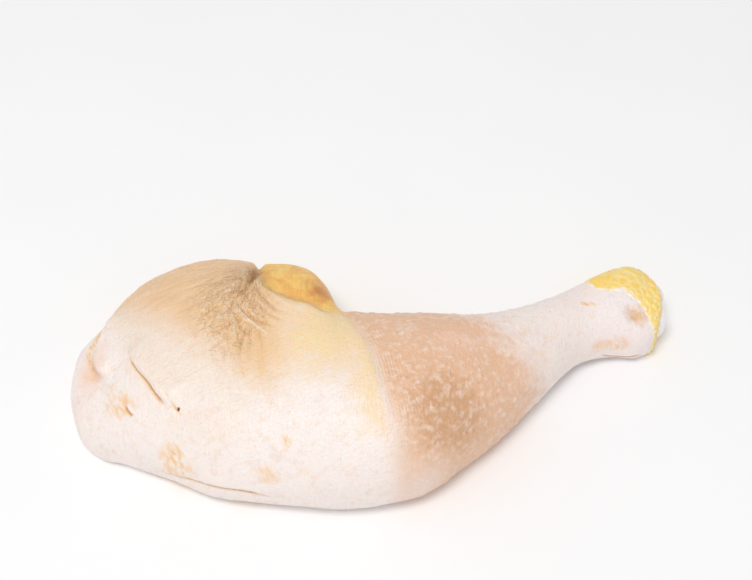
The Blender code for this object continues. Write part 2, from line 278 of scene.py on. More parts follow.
# %% Folds
BACK_OF_KNEE_LINE = (
    (-41, 47, 24), (-40, 41, 31), (-36, 31, 36), (-31, 26, 37), (-26, 23, 38), (-21, 21, 38),
    (-15, 17, 38), (-9, 19, 34),
)
KNEE_CREASE_LINE = (
    (-10, 24, 30), (-6, 13, 37), (-2, 5, 39), (1, -3, 40), (3, -11, 40), (5, -20, 39),
)
SLIT_LINE = ((-85, 6, 29), (-81, -1, 30), (-76, -8, 31), (-72, -14, 31), (-67, -20, 30))
SHORT_SLIT_LINE = ((-69, -12, 32), (-66, -18, 31), (-62, -23, 30))
HIP_FLAP_LINE = ((-92, 28, 22), (-96, 17, 22), (-98, 8, 21.5), (-96.5, 1, 23), (-91, -4, 25))
HEM_LINE = (
    (-76, -29, 8), (-66, -34, 11), (-57, -38, 13), (-50, -40.5, 13.5), (-43, -42, 14), (-36, -43, 13),
    (-28, -43.5, 11),
)
NOTCH_LINE = ((-41, 56, 14), (-41, 48, 24), (-41.5, 41, 29), (-43, 33, 34))
# Each row has a line, the height of its step, the depth and width of its groove, and how strongly
# painted shade darkens its groove
FOLDS = (
    (BACK_OF_KNEE_LINE, -1.5, 0.6, 2.2, 0.35),
    (KNEE_CREASE_LINE, -1.1, 0.3, 1.8, 0.1),
    (SLIT_LINE, 1.2, 1.3, 1.0, 0.0),
    (SHORT_SLIT_LINE, 0.4, 0.35, 0.9, 0.0),
    (HIP_FLAP_LINE, 2.8, 1.2, 1.6, 0.35),
    (HEM_LINE, 0.9, 0.8, 1.0, 0.0),
    (NOTCH_LINE, 0.0, 2.4, 1.6, 0.7),
)
STEP_RUNOUT = 9.0
CURVE_STEPS = 6
FAR_AWAY = 1000.0


def curve_through(line, steps=CURVE_STEPS):
    """A finer line that runs smoothly through the given points."""
    line = np.array(line, float)
    shares = np.arange(len(line), dtype=float)
    fine = np.linspace(0, len(line) - 1, (len(line) - 1) * steps + 1)
    return np.stack([read(np.stack([shares, column], axis=1), fine) for column in line.T], axis=1)


def from_line(points, normals, line, reach=9.0, span=24.0):
    """For each point of the skin, its distance from the line, positive on the left as seen from
    outside, and how far along the line it lies, from 0 to 1. The distance lies in the skin, and
    points farther than the span from the line's box are left out, to save time."""
    line = curve_through(line)
    apart = np.maximum(line.min(axis=0) - points, points - line.max(axis=0)).max(axis=1)
    close = np.nonzero(apart < span)[0]
    near, facing = points[close], normals[close]
    best, side, along = np.full(len(near), FAR_AWAY), np.ones(len(near)), np.zeros(len(near))
    for i in range(len(line) - 1):
        start, run = line[i], line[i + 1] - line[i]
        t = np.clip((near - start) @ run / (run @ run), 0, 1)
        offset = near - start - t[:, None] * run
        height = np.sum(offset * facing, axis=1)
        flat = offset - height[:, None] * facing
        distance = np.where(np.abs(height) < reach, np.linalg.norm(flat, axis=1), FAR_AWAY)
        nearer = distance < best
        left = np.sum(np.cross(facing, run) * flat, axis=1) >= 0
        best = np.where(nearer, distance, best)
        side = np.where(nearer, np.where(left, 1.0, -1.0), side)
        along = np.where(nearer, (i + t) / (len(line) - 1), along)
    distances, shares = np.full(len(points), FAR_AWAY), np.zeros(len(points))
    distances[close], shares[close] = best * side, along
    return distances, shares


def faded_ends(along, first, last):
    """1 along a line, falling to 0 over the first and the last share of it."""
    return ramp(along, 0, first) * ramp(1 - along, 0, last)


def fold(points, normals, line, step, groove, width):
    """The skin's rise over a fold: a step that runs out to the left, and a groove along it."""
    distance, along = from_line(points, normals, line)
    raised = step * ramp(distance, -width, width) * bell(np.maximum(distance, 0), STEP_RUNOUT)
    return (raised - groove * bell(distance, width)) * faded_ends(along, 0.12, 0.18)


def leg_folds(points, normals):
    rise = np.zeros(len(points))
    for line, step, groove, width, _shade_share in FOLDS:
        rise += fold(points, normals, line, step, groove, width)
    return pushed_out(points, normals, rise)


print("folds:", len(FOLDS))

# %% [markdown]
# ## Wrinkles
#
# Round the notch the skin is crumpled. A noise texture alone looks like crumpled paper, because
# its wrinkles go nowhere. Real ones start at the notch and run out over the thigh, so the strong
# ones are listed one by one, as grooves and ridges, and a finer crinkle that follows the same fan
# fills the space between them.

# %% Wrinkles round the notch and ripples beside the knee
# Each row has a depth or height, a width and a line as it is seen from above
GROOVES = (
    (1.5, 0.9, ((-42, 44), (-42, 37), (-43, 32), (-44, 28), (-47, 24.5), (-52, 22))),
    (1.1, 0.8, ((-46, 37), (-46, 30), (-49, 26), (-53, 22))),
    (1.0, 0.8, ((-43, 29), (-44, 24), (-46, 18))), (0.9, 0.8, ((-48, 23), (-48, 19), (-51, 15))),
    (1.1, 0.9, ((-44, 19), (-41, 15), (-36, 11), (-31, 8))),
    (1.0, 0.9, ((-42, 34), (-39, 27), (-36, 22), (-32, 17), (-25, 14))),
    (0.9, 0.9, ((-42, 31), (-40, 23), (-37, 18), (-32, 13), (-26, 10))),
    (0.7, 0.8, ((-44, 28), (-41, 21), (-38, 16), (-34, 12))),
    (1.1, 0.8, ((-45, 16), (-45, 12), (-43, 8), (-44, 3), (-44, -2), (-43, -8))),
    (0.8, 0.8, ((-42, 11), (-41, 5), (-41, -1))), (0.8, 0.8, ((-46, 13), (-51, 9), (-56, 6))),
    (0.7, 0.8, ((-47, 7), (-52, 2), (-57, -2))), (0.7, 0.8, ((-52, 20), (-56, 17), (-61, 14))),
    (0.6, 0.8, ((-39, 10), (-37, 3), (-36, -4))), (0.5, 0.8, ((-50, 3), (-49, -3), (-50, -7))),
    (0.7, 0.9, ((-49, 38), (-51, 32), (-54, 26))), (0.9, 0.8, ((-43, 37), (-44, 31), (-48, 26))),
    (0.4, 0.9, ((-53, 34), (-60, 31), (-68, 28))), (0.4, 0.8, ((-59, 22), (-65, 19), (-72, 14))),
    (0.4, 0.9, ((-57, 5), (-63, 0), (-67, -6))), (0.6, 1.3, ((-39, 47), (-30, 44), (-22, 39))),
    (0.6, 1.2, ((-38, 40), (-30, 33), (-23, 26))), (0.8, 1.0, ((-21, 38), (-22, 31), (-19, 24))),
    (0.5, 1.5, ((94, 32), (96.5, 28.5), (97.5, 25))),
)
RIDGES = (
    (1.3, 0.9, ((-47.5, 20), (-45, 16.5), (-41, 12.5), (-37, 8), (-33, 5))),
    (0.9, 0.9, ((-41, 36), (-38, 30), (-34, 25), (-29, 20), (-23, 17))),
    (0.8, 0.8, ((-41, 27), (-38, 21), (-34, 16), (-28, 12))),
    (0.8, 0.8, ((-48, 17), (-47, 12), (-46, 6), (-46, 0))),
    (0.7, 0.8, ((-45, 27), (-47, 21), (-49, 17))), (0.7, 0.9, ((-44, 41), (-47, 33), (-51, 27))),
    (0.6, 0.8, ((-42.5, 8), (-42, 2), (-42, -5))), (0.5, 0.8, ((-50, 13), (-54, 9), (-59, 7))),
    (0.5, 0.8, ((-48, 10), (-54, 3), (-60, -1))), (0.7, 1.0, ((-20, 35), (-20.5, 30), (-17, 24))),
)
WRINKLE_FINENESS, WRINKLE_DEPTH, WRINKLE_WANDER = 0.72, 0.85, 0.35
RIB_HEIGHT, CROSSING_HEIGHT, CRINKLE_SINK, CRINKLE_SHARPNESS = 0.26, 0.14, 0.16, 2.2
FLAT_ENOUGH = 0.15
NOTCH, FAN_RADIUS = (-42.0, 43.0), 20.0
CRUMPLED, CRUMPLED_RADII = (-48.0, 20.0), (15.0, 24.0)
RIPPLE_HEIGHT, RIPPLE_SPACING, RIPPLE_REACH = 0.04, 2.1, 11.0
relief_made = {}


def on_skin(line, points, normals):
    """The line's places, given from above, lifted onto the top of the skin."""
    upper = points[normals[:, 2] > FLAT_ENOUGH]
    lifted = []
    for x, y in line:
        nearest = np.argmin(np.hypot(upper[:, 0] - x, upper[:, 1] - y))
        lifted.append((x, y, upper[nearest, 2]))
    return lifted


def laid_wrinkles(points, normals):
    """Grooves and ridges laid from their lists, each fading out at both its ends."""
    rise = np.zeros(len(points))
    for depth, lines in ((-WRINKLE_DEPTH, GROOVES), (WRINKLE_DEPTH, RIDGES)):
        for height, width, line in lines:
            distance, along = from_line(points, normals, on_skin(line, points, normals), span=5.0)
            distance = distance + WRINKLE_WANDER * relief_made["wander"]
            profile = bell(distance, WRINKLE_FINENESS * width) * faded_ends(along, 0.15, 0.4)
            rise += depth * height * profile
    return rise


def fan_places(points):
    """How far each point lies across and along the fan of wrinkles that starts at the notch."""
    x, y = points[:, 0] - NOTCH[0], NOTCH[1] - points[:, 1]
    return FAN_RADIUS * np.arctan2(x, y), np.hypot(x, y)


def crumpled_zone(points):
    """1 in the middle of the crumpled skin, falling to 0 away from it and down the leg's sides."""
    return hill(points, CRUMPLED, CRUMPLED_RADII) * ramp(points[:, 2], 15, 28)


def crinkle(points):
    """A fine fan of wrinkles with its ribs at the notch, crossed by a few short ones."""
    zone = crumpled_zone(points)
    across, out = fan_places(points)
    fan = np.stack([0.6 * across, out / 9, points[:, 2] / 20], axis=1)
    slant = np.stack([(points[:, 0] + points[:, 1]) / 7, (points[:, 0] - points[:, 1]) / 2.4,
                      points[:, 2] / 12], axis=1)
    ribs = 1 - CRINKLE_SHARPNESS * np.abs(wobble(fan, 1.0, 4.0))
    crossed = 1 - CRINKLE_SHARPNESS * np.abs(wobble(slant, 1.0, 9.0))
    return zone * (RIB_HEIGHT * ribs + CROSSING_HEIGHT * crossed - CRINKLE_SINK)


def crease_ripples(points, normals):
    """Fine parallel ripples that the skin makes on the drumstick's side of the knee crease."""
    distance, along = from_line(points, normals, KNEE_CREASE_LINE + ((8, -32, 35), (9, -41, 26)))
    beside = ramp(distance, 0.5, 3) * bell(distance, RIPPLE_REACH)
    wander = distance + 0.9 * wobble(points, 9.0, 2.0)
    fade = ramp(along, 0.1, 0.4) * ramp(1 - along, 0.0, 0.25)
    return RIPPLE_HEIGHT * np.cos(2 * math.pi * wander / RIPPLE_SPACING) * beside * fade


# %% [markdown]
# ## Feather follicles and hock scales
#
# Each feather leaves a small raised pore, about 4 mm from the next, and they are plainest on the
# drumstick. The yellow skin of the hock has flat scales with pale edges. Both are cell patterns,
# so both come from Voronoi distances: a follicle is a bump in the middle of its cell, and a scale
# is the whole cell, with a groove where two cells meet.

# %% Follicles and scales
FOLLICLE_SPACING, FOLLICLE_HEIGHT, FOLLICLE_RADIUS = 3.7, 0.4, 0.38
FAINT = 0.25
SCALE_SIZE, SCALES_FROM = 2.8, 78.0
KNEE_BORDER = (
    (-45, 9), (-41, 8), (-32, 7), (-23, 5), (-12, 4), (-4, 2), (1, 0), (9, -3), (17, -8), (30, -12),
)
SCALE_BORDER = ((78, 44), (82, 40), (85, 36.5), (92, 35.5), (97, 33.5), (101, 29), (104, 24), (110, 16))


def cells(points, size, seed):
    """Distance to the middle of the nearest cell and to the edge between cells, in cell sizes."""
    found = [noise.voronoi(Vector(point) / size + Vector((seed, 0, 0)))[0] for point in points]
    found = np.array([(near[0], near[1]) for near in found])
    return found[:, 0], found[:, 1] - found[:, 0]


def drumstick_share(points):
    """0 on the thigh and 1 on the drumstick, with the change along the knee crease."""
    x, y = points[:, 0], points[:, 1]
    crease = read(KNEE_BORDER, np.clip(y, -45, 30))
    softness = 3 + 9 * ramp(-y, 12, 34)
    return ramp(x - crease, -softness * 0.4, softness)


def past_scale_border(points):
    """How far each point lies beyond the border of the scales, in millimetres."""
    border = read(SCALE_BORDER, np.clip(points[:, 0], SCALE_BORDER[0][0], SCALE_BORDER[-1][0]))
    ragged = 1.8 * wobble(points, 6.0, 5.0) + 1.3 * wobble(points, 2.3, 6.0)
    return points[:, 1] - border - ragged


def scaly_share(points):
    """1 where the hock has scales: its far half, its end and round onto the underside."""
    return ramp(past_scale_border(points), -1.5, 2.5) * ramp(points[:, 0], SCALES_FROM, SCALES_FROM + 4)


def follicles(points, normals):
    """The rise of the follicles, plain on the drumstick and faint on the thigh and the ankle."""
    middle, _edge = cells(points, FOLLICLE_SPACING, 0.0)
    bump = ramp(FOLLICLE_RADIUS - middle, 0, 0.3)
    ankle = ramp(points[:, 0], 62, 80)
    drum = drumstick_share(points)
    thigh = (1 - drum) * ramp(points[:, 0], -100, -85)
    strength = drum * (1 - ankle) + FAINT * thigh + FAINT * ankle
    return bump * strength * (1 - scaly_share(points)) * ramp(normals[:, 2], -0.9, -0.4)


def scales(points):
    """The rise of the scales' plates, from 0 to 1, and 1 along the edges between them."""
    plain = ramp(points[:, 0], 82, 94) * (0.85 + 0.4 * wobble(points, 7.0, 3.0))
    plain = plain * ramp(past_scale_border(points), 0, 3)
    beaded = 1 + 0.8 * ramp(points[:, 0], 98, 106)
    _middle, edge = cells(points, SCALE_SIZE, 3.0)
    return plain * beaded * ramp(edge, 0.0, 0.35), plain * (1 - ramp(edge, 0.1, 0.36))


# %% [markdown]
# ## The window of bare flesh underneath
#
# A leg is cut from the bird through the hip, so the thigh has skin on its outside only. Below, the
# skin ends in a rolled rim round the bare muscles. The rim comes from the same outlines: the skin
# sinks wherever a point of the underside lies more than a rim's width inside the edge.

# %% The recess for the flesh
FLESH_X = (-97.0, -15.0)
SKIN_RIM, WINDOW_DEPTH, WINDOW_ROUNDING, WINDOW_PINCH = 9.5, 5.0, 16.0, 9.0


def window_edges(x, rim):
    """The near and far side of the window at x, narrowing to nothing at both its ends."""
    share = (x - FLESH_X[0]) / (FLESH_X[1] - FLESH_X[0])
    pinch = WINDOW_PINCH * np.abs(2 * share - 1) ** 4
    near = read(NEAR_EDGE, x) + rim + pinch
    far = read(FAR_EDGE, x) - rim - pinch
    to_end = np.clip(np.minimum(x - FLESH_X[0], FLESH_X[1] - x) / WINDOW_ROUNDING, 0, 1)
    ring = np.sqrt(1 - (1 - to_end) ** 2)
    middle, half = (near + far) / 2, (far - near) / 2
    return middle - half * ring, middle + half * ring


def inside_window(points):
    """How far each point lies inside the window, in millimetres, negative outside it."""
    x, y = points[:, 0], points[:, 1]
    near, far = window_edges(x, SKIN_RIM)
    to_ends = np.minimum(x - FLESH_X[0], FLESH_X[1] - x)
    return np.minimum(np.minimum(y - near, far - y), to_ends)


def open_window(points, normals):
    inside = inside_window(points)
    below = ramp(-normals[:, 2], 0.5, 0.9)
    rolled = inside + 1.8 * wobble(points, 11.0, 8.0) + 0.6 * wobble(points, 4.0, 3.0)
    moved = points.copy()
    moved[:, 2] += WINDOW_DEPTH * ramp(rolled, -0.8, 1.6) * below
    return moved


# %% Build the skin
LEG_MESH = (360, 275)
UNDER_SCALES, SKIN_UNEVENNESS = 0.25, 0.16


def fine_relief(points, normals):
    top = ramp(normals[:, 2], -0.2, 0.2)
    relief_made["wander"] = wobble(points, 2.6, 12.0)
    wrinkles = (laid_wrinkles(points, normals) + crinkle(points)) * top
    pores = follicles(points, normals)
    scaly = scaly_share(points)
    rise = wrinkles + crease_ripples(points, normals) * top + FOLLICLE_HEIGHT * pores
    uneven = SKIN_UNEVENNESS * wobble(points, 4.5, 1.0)
    rise += uneven * (1 - ramp(-normals[:, 2], 0.5, 0.9)) * (1 - scaly)
    relief_made.update(wrinkle=wrinkles, pore=pores)
    return pushed_out(points, normals, rise - UNDER_SCALES * scaly)


skin = shaped_object("skin", LEG_MESH, (leg_shape, leg_forms, leg_folds, fine_relief, open_window))
skin_points, skin_normals = points_and_normals(skin)
print("skin:", 2 * LEG_MESH[0] * (LEG_MESH[1] - 1), "triangles")

# %% [markdown]
# ## Where the drawing lies in the frame
#
# The outlines above are drawn round a handy point near the knee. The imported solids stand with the
# middle of their outline over the origin. The shift between the two is the difference of the two
# boxes' middles, and every piece is moved by it once, in its mesh, so that its object stays at the
# origin.

# %% The shift from the drawing to the frame
leg_low, leg_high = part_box("leg")
drawn_middle = (skin_points.min(axis=0) + skin_points.max(axis=0)) / 2
SHIFT = (leg_low + leg_high) / 2 - Vector(drawn_middle) * MM
SHIFT.z = leg_low.z


def put_in_frame(item):
    """Turns a drawn piece's mesh from millimetres into the frame's metres."""
    for vert in item.data.vertices:
        vert.co = vert.co * MM + SHIFT
    item.data.update()
    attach(item, "root")


print("shift in mm:", [round(part / MM, 2) for part in SHIFT])

# %% [markdown]
# ## Masks for the colours
#
# Chicken skin has no single colour. It is tan over the top of the thigh, honey over the knee,
# nearly white along the side that faces the light, pinkish tan on the drumstick and yellow where
# fat gathers. A few masks place painted shade instead: over the calf, in the fold grooves, at the
# lobe's end, in the hock's dimple and beside the cuts. Each of these zones is a number for every
# point of the skin, kept in the mesh as an attribute, so the colours stay in place however the leg
# is turned.

# %% Colour zones of the skin
# Each row has a place, its radii and its strength
STAINS = (
    ((-66, -32, 19), (6, 5, 8), 0.8), ((-83, -15, 25), (6, 4, 6), 0.6),
    ((-88, -10, 22), (6, 7, 8), 0.45), ((-27, -33, 32), (2.4, 3.2, 5), 0.7),
    ((-33, -40, 22), (6, 5, 3.5), 0.7), ((-43, -9, 37), (3.5, 4, 5), 0.5),
    ((-36, -10, 38), (3, 4, 5), 0.45), ((57, 14, 30), (3.5, 2, 4), 0.55),
    ((62, 6, 26), (3, 2.5, 4), 0.5), ((80, 31, 24), (4.5, 1.0, 5), 0.9),
    ((93, 21, 14), (3, 3, 3), 0.5), ((-97, 2, 20), (4, 4, 5), 0.6), ((90, 22, 13), (6, 4, 5), 0.5),
    ((-57, -36, 16), (10, 3, 5), 0.35), ((-20, -40, 24), (5, 3, 4), 0.35),
    ((99.4, 21.3, 6.5), (1.4, 1.6, 1.8), 1.0), ((84, 19.5, 14), (3, 3, 3), 0.5),
    ((-97, 19.5, 20), (2.5, 3, 3), 1.0),
)
BLUSHES = (
    ((-98, 4, 20), (6, 7, 8), 0.9), ((-93, 12, 22), (3, 8, 6), 0.5), ((33, 4, 38), (12, 9, 8), 0.45),
    ((-99, -8, 12), (9, 9, 10), 0.4), ((52, -4, 26), (10, 8, 9), 0.4), ((64, 18, 25), (8, 7, 8), 0.25),
    ((26, -33, 22), (6, 9, 9), 0.35), ((85, 19.5, 14), (4, 3, 4), 0.6),
    ((94, 20.7, 14), (4, 3, 4), 0.6),
)
# Painted shade on the near side of the thigh
NEAR_SIDE_SHADE_SPOT = ((-52, -24, 30), (17, 11, 14))
# Painted shade over the calf, on the side of the drumstick that turns from the light
CALF_SHADE_PATCH = ((24, -22, 30), (17, 14, 16))
PALE_CALF = ((20, -44, 14), (14, 9, 12))
PIT = ((-64.0, -20.0, 31.0), (0.8, 0.8, 2))
# Painted shade in the hock's dimple
DIMPLE_SHADE_SPOT = ((98.5, 28.0, 21.0), (5.0, 4.5, 6))
# Painted shade at the far end of the lobe
LOBE_SHADE_SPOT = ((-17.0, 27.5, 32.5), (5.0, 7.0, 8))
HIP_BAND = ((-97, 22, 19), (-97.5, 17, 19), (-99, 13, 18), (-99, 8, 19), (-96, 2, 21), (-92, -1, 23))
CRACK_LINE = ((-83.5, -14, 25), (-82, -17, 25), (-80, -19, 25))
HOCK_CUT_LINE = (
    (84, 19.6, 9.5), (88, 20.4, 7), (91, 20.9, 5.7), (95, 21.3, 5), (99.4, 21.3, 6.2), (105, 23, 6),
)
CRISP_LINES = (SLIT_LINE, CRACK_LINE, HEM_LINE, HOCK_CUT_LINE)
CUT_REACH = 20.0


def spots(points, places):
    """How strongly the given places colour each point, at most 1."""
    total = np.zeros(len(points))
    for place, radii, strength in places:
        total += strength * hill(points, place, radii)
    return np.clip(total, 0, 1)


def along_line(points, normals, line, width):
    """1 on the line, falling to 0 beside it and towards its ends."""
    distance, along = from_line(points, normals, line, span=4 * width)
    return bell(distance, width) * faded_ends(along, 0.15, 0.2)


def crease_shade_depth(points, normals):
    """How strongly painted shade darkens the folds' grooves, from 0 away from them to 1 in the notch."""
    depth = np.zeros(len(points))
    for line, _step, _groove, width, shade_share in FOLDS:
        if shade_share > 0:
            depth = np.maximum(depth, shade_share * along_line(points, normals, line, 0.8 * width))
    return depth


def crisp_lines(points, normals):
    """The distance to the nearest thin cut, with its side as its sign, and 1 close to the cut."""
    nearest, closeness = np.full(len(points), CUT_REACH), np.zeros(len(points))
    for line in CRISP_LINES:
        distance, along = from_line(points, normals, line, span=6.0)
        close = bell(distance, 2.0) * faded_ends(along, 0.3, 0.3)
        nearest = np.where(close > closeness, distance, nearest)
        closeness = np.maximum(close, closeness)
    return nearest, closeness


def beside_crease(points, normals):
    """The distance past the knee crease, and how much its drumstick side and its thigh side show."""
    line = KNEE_CREASE_LINE + ((8, -32, 36), (9, -41, 27))
    crease, along = from_line(points, normals, line, span=30.0)
    beside = ramp(crease, -1.0, 2.0) * bell(crease, 10) * ramp(along, 0.05, 0.3)
    before = ramp(-crease, -1.5, 2.0) * bell(crease, 13) * ramp(1 - along, 0.0, 0.25)
    return crease, beside * ramp(1 - along, 0.0, 0.2), before


def lobe_share(points, normals):
    """1 on the yellow lobe behind the knee, which a fold closes off on its thigh side."""
    x, y, z = points.T
    past_fold, _along = from_line(points, normals, BACK_OF_KNEE_LINE)
    past_fold = past_fold + 1.8 * wobble(points, 3.5, 7.0)
    from_middle = np.hypot((x + 25) / 17, (z - 32) / 21) + 0.35 * wobble(points, 9.0, 11.0)
    return ramp(past_fold, -3.5, 2.0) * (1 - ramp(from_middle, 0.85, 1.15)) * ramp(y, 14, 20)


def skin_zones(points, normals):
    """Every mask that the finish of the skin reads, by its name."""
    x, y = points[:, 0], points[:, 1]
    drum = drumstick_share(points)
    thigh = 1 - drum
    tan_border = 26 - 0.75 * (np.minimum(x, -30) + 88)
    tan = ramp(y - tan_border, -17, 17) * thigh * (1 - ramp(x, -38, -18))
    near = np.maximum(ramp(-y, 4, 26), ramp(-x - 0.6 * y, 74, 92)) * thigh
    # Painted shade: the white near side is held back at one spot
    near = near * (1 - 0.7 * hill(points, *NEAR_SIDE_SHADE_SPOT))
    lobe = lobe_share(points, normals) * thigh
    crease, beside, before = beside_crease(points, normals)
    honey = np.maximum(bell(x + 14, 21) * ramp(y, -28, 8), 0.8 * before) * (1 - ramp(drum, 0.6, 1.0))
    across, out = fan_places(points)
    cut, close_to_cut = crisp_lines(points, normals)
    outside = -inside_window(points) + 3 * wobble(points, 8.0, 1.0)
    rim = (1 - ramp(outside, 3, 9)) * ramp(-normals[:, 2], 0.0, 0.6)
    stain = np.maximum(spots(points, STAINS), 0.9 * along_line(points, normals, HIP_BAND, 1.3))
    stain = np.maximum(stain, 0.7 * along_line(points, normals, SHORT_SLIT_LINE, 0.9))
    return {
        "drum": drum, "tan": tan, "honey": honey, "lobe": lobe, "near": near, "stain": stain,
        "fan_across": across, "fan_out": out, "ankle": ramp(x + y, 30, 85), "hock": ramp(x, 76, 92),
        # The calf mask places painted shade on the drumstick
        "calf": drum * hill(points, *CALF_SHADE_PATCH), "pale": drum * hill(points, *PALE_CALF),
        # The groove mask places painted shade in the folds and the notch
        "blush": spots(points, BLUSHES), "groove": crease_shade_depth(points, normals), "underside": rim,
        # The second mask here places painted shade in the hock's dimple
        "pit": hill(points, *PIT), "dimple_shade": hill(points, *DIMPLE_SHADE_SPOT),
        # The hollow mask places painted shade at the lobe's end
        "hollow": lobe * hill(points, *LOBE_SHADE_SPOT), "crease": np.clip(crease, -30, 30),
        "beside": beside, "cut": np.clip(cut, -CUT_REACH, CUT_REACH), "close_to_cut": close_to_cut,
        "wrinkle": relief_made["wrinkle"], "pore": relief_made["pore"],
        "crumpled": crumpled_zone(points),
    }


def keep_masks(item, zones):
    """Stores one number for each point and zone, as an attribute with the zone's name."""
    for name, values in zones.items():
        mask = item.data.attributes.new(name, "FLOAT", "POINT")
        mask.data.foreach_set("value", values.astype(np.float32))


keep_masks(skin, skin_zones(skin_points, skin_normals))
put_in_frame(skin)
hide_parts("leg")
print("skin masks:", len(skin.data.attributes))

# %% [markdown]
# ## Finishes written as sums
#
# A finish is a small graph of nodes. Written one node at a time it is long and hard to follow, so
# one class stands for a number that changes over the surface. Adding, multiplying or subtracting
# such numbers adds the Math nodes, and every other node comes from one method.

# %% A way to write a finish
def light(red, green, blue):
    """A colour picked as it shows on a screen, from 0 to 255, as the linear light that nodes use."""
    parts = [value / 255 for value in (red, green, blue)]
    linear = [part / 12.92 if part <= 0.04045 else ((part + 0.055) / 1.055) ** 2.4 for part in parts]
    return (*linear, 1.0)


def arithmetic(operation, swapped=False):
    """A method that joins two numbers in a Math node, in the order in which they are written."""
    def join(self, other=0.0):
        first, second = (other, self) if swapped else (self, other)
        return self.finish.node("ShaderNodeMath", {"operation": operation}, {0: first, 1: second})

    return join


class Tone:
    """A number or a colour that changes over the surface."""

    def __init__(self, finish, socket):
        self.finish = finish
        self.socket = socket

    __add__, __radd__ = arithmetic("ADD"), arithmetic("ADD", True)
    __sub__, __rsub__ = arithmetic("SUBTRACT"), arithmetic("SUBTRACT", True)
    __mul__, __rmul__ = arithmetic("MULTIPLY"), arithmetic("MULTIPLY", True)
    __abs__ = arithmetic("ABSOLUTE")


class Finish:
    """A material that grows a node at a time."""

    def __init__(self, name, **constants):
        self.material = bpy.data.materials.new(name)
        self.material.use_nodes = True
        self.tree = self.material.node_tree
        self.shader = self.tree.nodes["Principled BSDF"]
        self.place = self.node("ShaderNodeTexCoord", output=3)
        for socket, value in constants.items():
            self.shader.inputs[socket.replace("_", " ")].default_value = value

    def node(self, kind, settings=None, inputs=None, output=0):
        """Adds a node, sets or links its inputs and gives back one of its outputs."""
        made = self.tree.nodes.new(kind)
        for name, value in (settings or {}).items():
            setattr(made, name, value)
        for name, value in (inputs or {}).items():
            if isinstance(value, Tone):
                self.tree.links.new(value.socket, made.inputs[name])
            else:
                made.inputs[name].default_value = value
        return Tone(self, made.outputs[output])

    def mask(self, name):
        """A number that was stored for every point of the mesh."""
        return self.node("ShaderNodeAttribute", {"attribute_name": name}, output=2)

    def blend(self, share, under, over):
        """The second colour over the first, as strongly as the share says."""
        return self.node("ShaderNodeMix", {"data_type": "RGBA"}, {0: share, 6: under, 7: over}, output=2)

    def step(self, value, low, high):
        """0 up to low and 1 from high on, or the other way round where low is the larger."""
        sockets = {0: value, 1: low, 2: high, 3: 0.0, 4: 1.0}
        return self.node("ShaderNodeMapRange", {"interpolation_type": "SMOOTHSTEP"}, sockets)

    def layers(self, tone, *layers):
        """The tone with colours laid over it in turn. A layer has a strength, the value that says
        where it shows, the two limits between which that value brings it in, and its colour."""
        for strength, value, low, high, colour in layers:
            tone = self.blend(strength * self.step(value, low, high), tone, colour)
        return tone

    def stretched(self, sizes, turn=0.0):
        """The place on the object, counted along turned axes in the given sizes in millimetres, or
        in one size for all three axes."""
        sizes = sizes if isinstance(sizes, tuple) else (sizes, sizes, sizes)
        inputs = {0: self.place, 2: (0, 0, turn), 3: [size * MM for size in sizes]}
        return self.node("ShaderNodeMapping", {"vector_type": "TEXTURE"}, inputs)

    def noise_at(self, place, detail):
        """Noise whose patches are about one unit wide, counted from the given place."""
        inputs = {"Vector": place, "Scale": 1.0, "Detail": detail}
        return self.node("ShaderNodeTexNoise", inputs=inputs)

    def noise(self, sizes, detail=2.0, turn=0.0):
        """Noise from 0 to 1 with patches of the given sizes in millimetres."""
        return self.noise_at(self.stretched(sizes, turn), detail)

    def uneven(self, sizes, detail=2.0, turn=0.0):
        """The same noise about 0, for what is added to a mask."""
        return self.noise(sizes, detail, turn) - 0.5

    def cells(self, sizes, feature="F1"):
        inputs = {"Vector": self.stretched(sizes), "Scale": 1.0}
        return self.node("ShaderNodeTexVoronoi", {"feature": feature}, inputs)

    def vector(self, x, y):
        """A place made of two numbers, for a pattern that follows the mesh's own attributes."""
        return self.node("ShaderNodeCombineXYZ", inputs={0: x, 1: y})

    def bump(self, height, depth, normal=None):
        """The surface's direction with a relief of that depth in millimetres, on top of another."""
        inputs = {"Height": height, "Distance": depth * MM, "Strength": 1.0}
        if normal:
            inputs["Normal"] = normal
        return self.node("ShaderNodeBump", inputs=inputs)

    def wear(self, item, **outputs):
        """Links the finished colour, roughness or normal, and puts the material on the piece."""
        for socket, value in outputs.items():
            self.tree.links.new(value.socket, self.shader.inputs[socket.replace("_", " ")])
        item.data.materials.clear()
        item.data.materials.append(self.material)


# %% [markdown]
# ## The finish of the skin
#
# Raw skin is a thin, moist, translucent sheet over fat and muscle. Light that enters it spreads a
# little before it leaves, which softens every shadow, so the shader gets some subsurface light.
# The colours of the zones are laid over each other from the palest up. Each border is broken by
# noise, because fat under the skin has no straight edges.

# %% Skin
CREAM, WHITE_SIDE, LILAC = light(247, 230, 216), light(251, 238, 232), light(238, 221, 223)
TAN, TAN_DEEP, HONEY = light(243, 203, 158), light(226, 178, 122), light(252, 217, 170)
SPECKLE, BUTTER, RIM_FAT = light(244, 216, 190), light(252, 224, 168), light(243, 188, 116)
# The calf's tan and deep tones are painted shade with mottling; the deep one also shades the ripples'
# troughs
CALF_PINK, CALF_SHADE_TAN, CALF_SHADE_DEEP = light(236, 192, 158), light(224, 175, 134), light(206, 160, 122)
PAPULE, ANKLE, ANKLE_PINK = light(250, 230, 218), light(250, 236, 230), light(243, 218, 212)
# The stain colour also paints shade in a soft band beside the cuts
BLUSH, STAIN_AND_CUT_SHADE, STAIN_DEEP = light(250, 210, 190), light(247, 205, 150), light(238, 170, 108)
LOBE_YELLOW, LOBE_ORANGE = light(254, 208, 108), light(244, 180, 86)
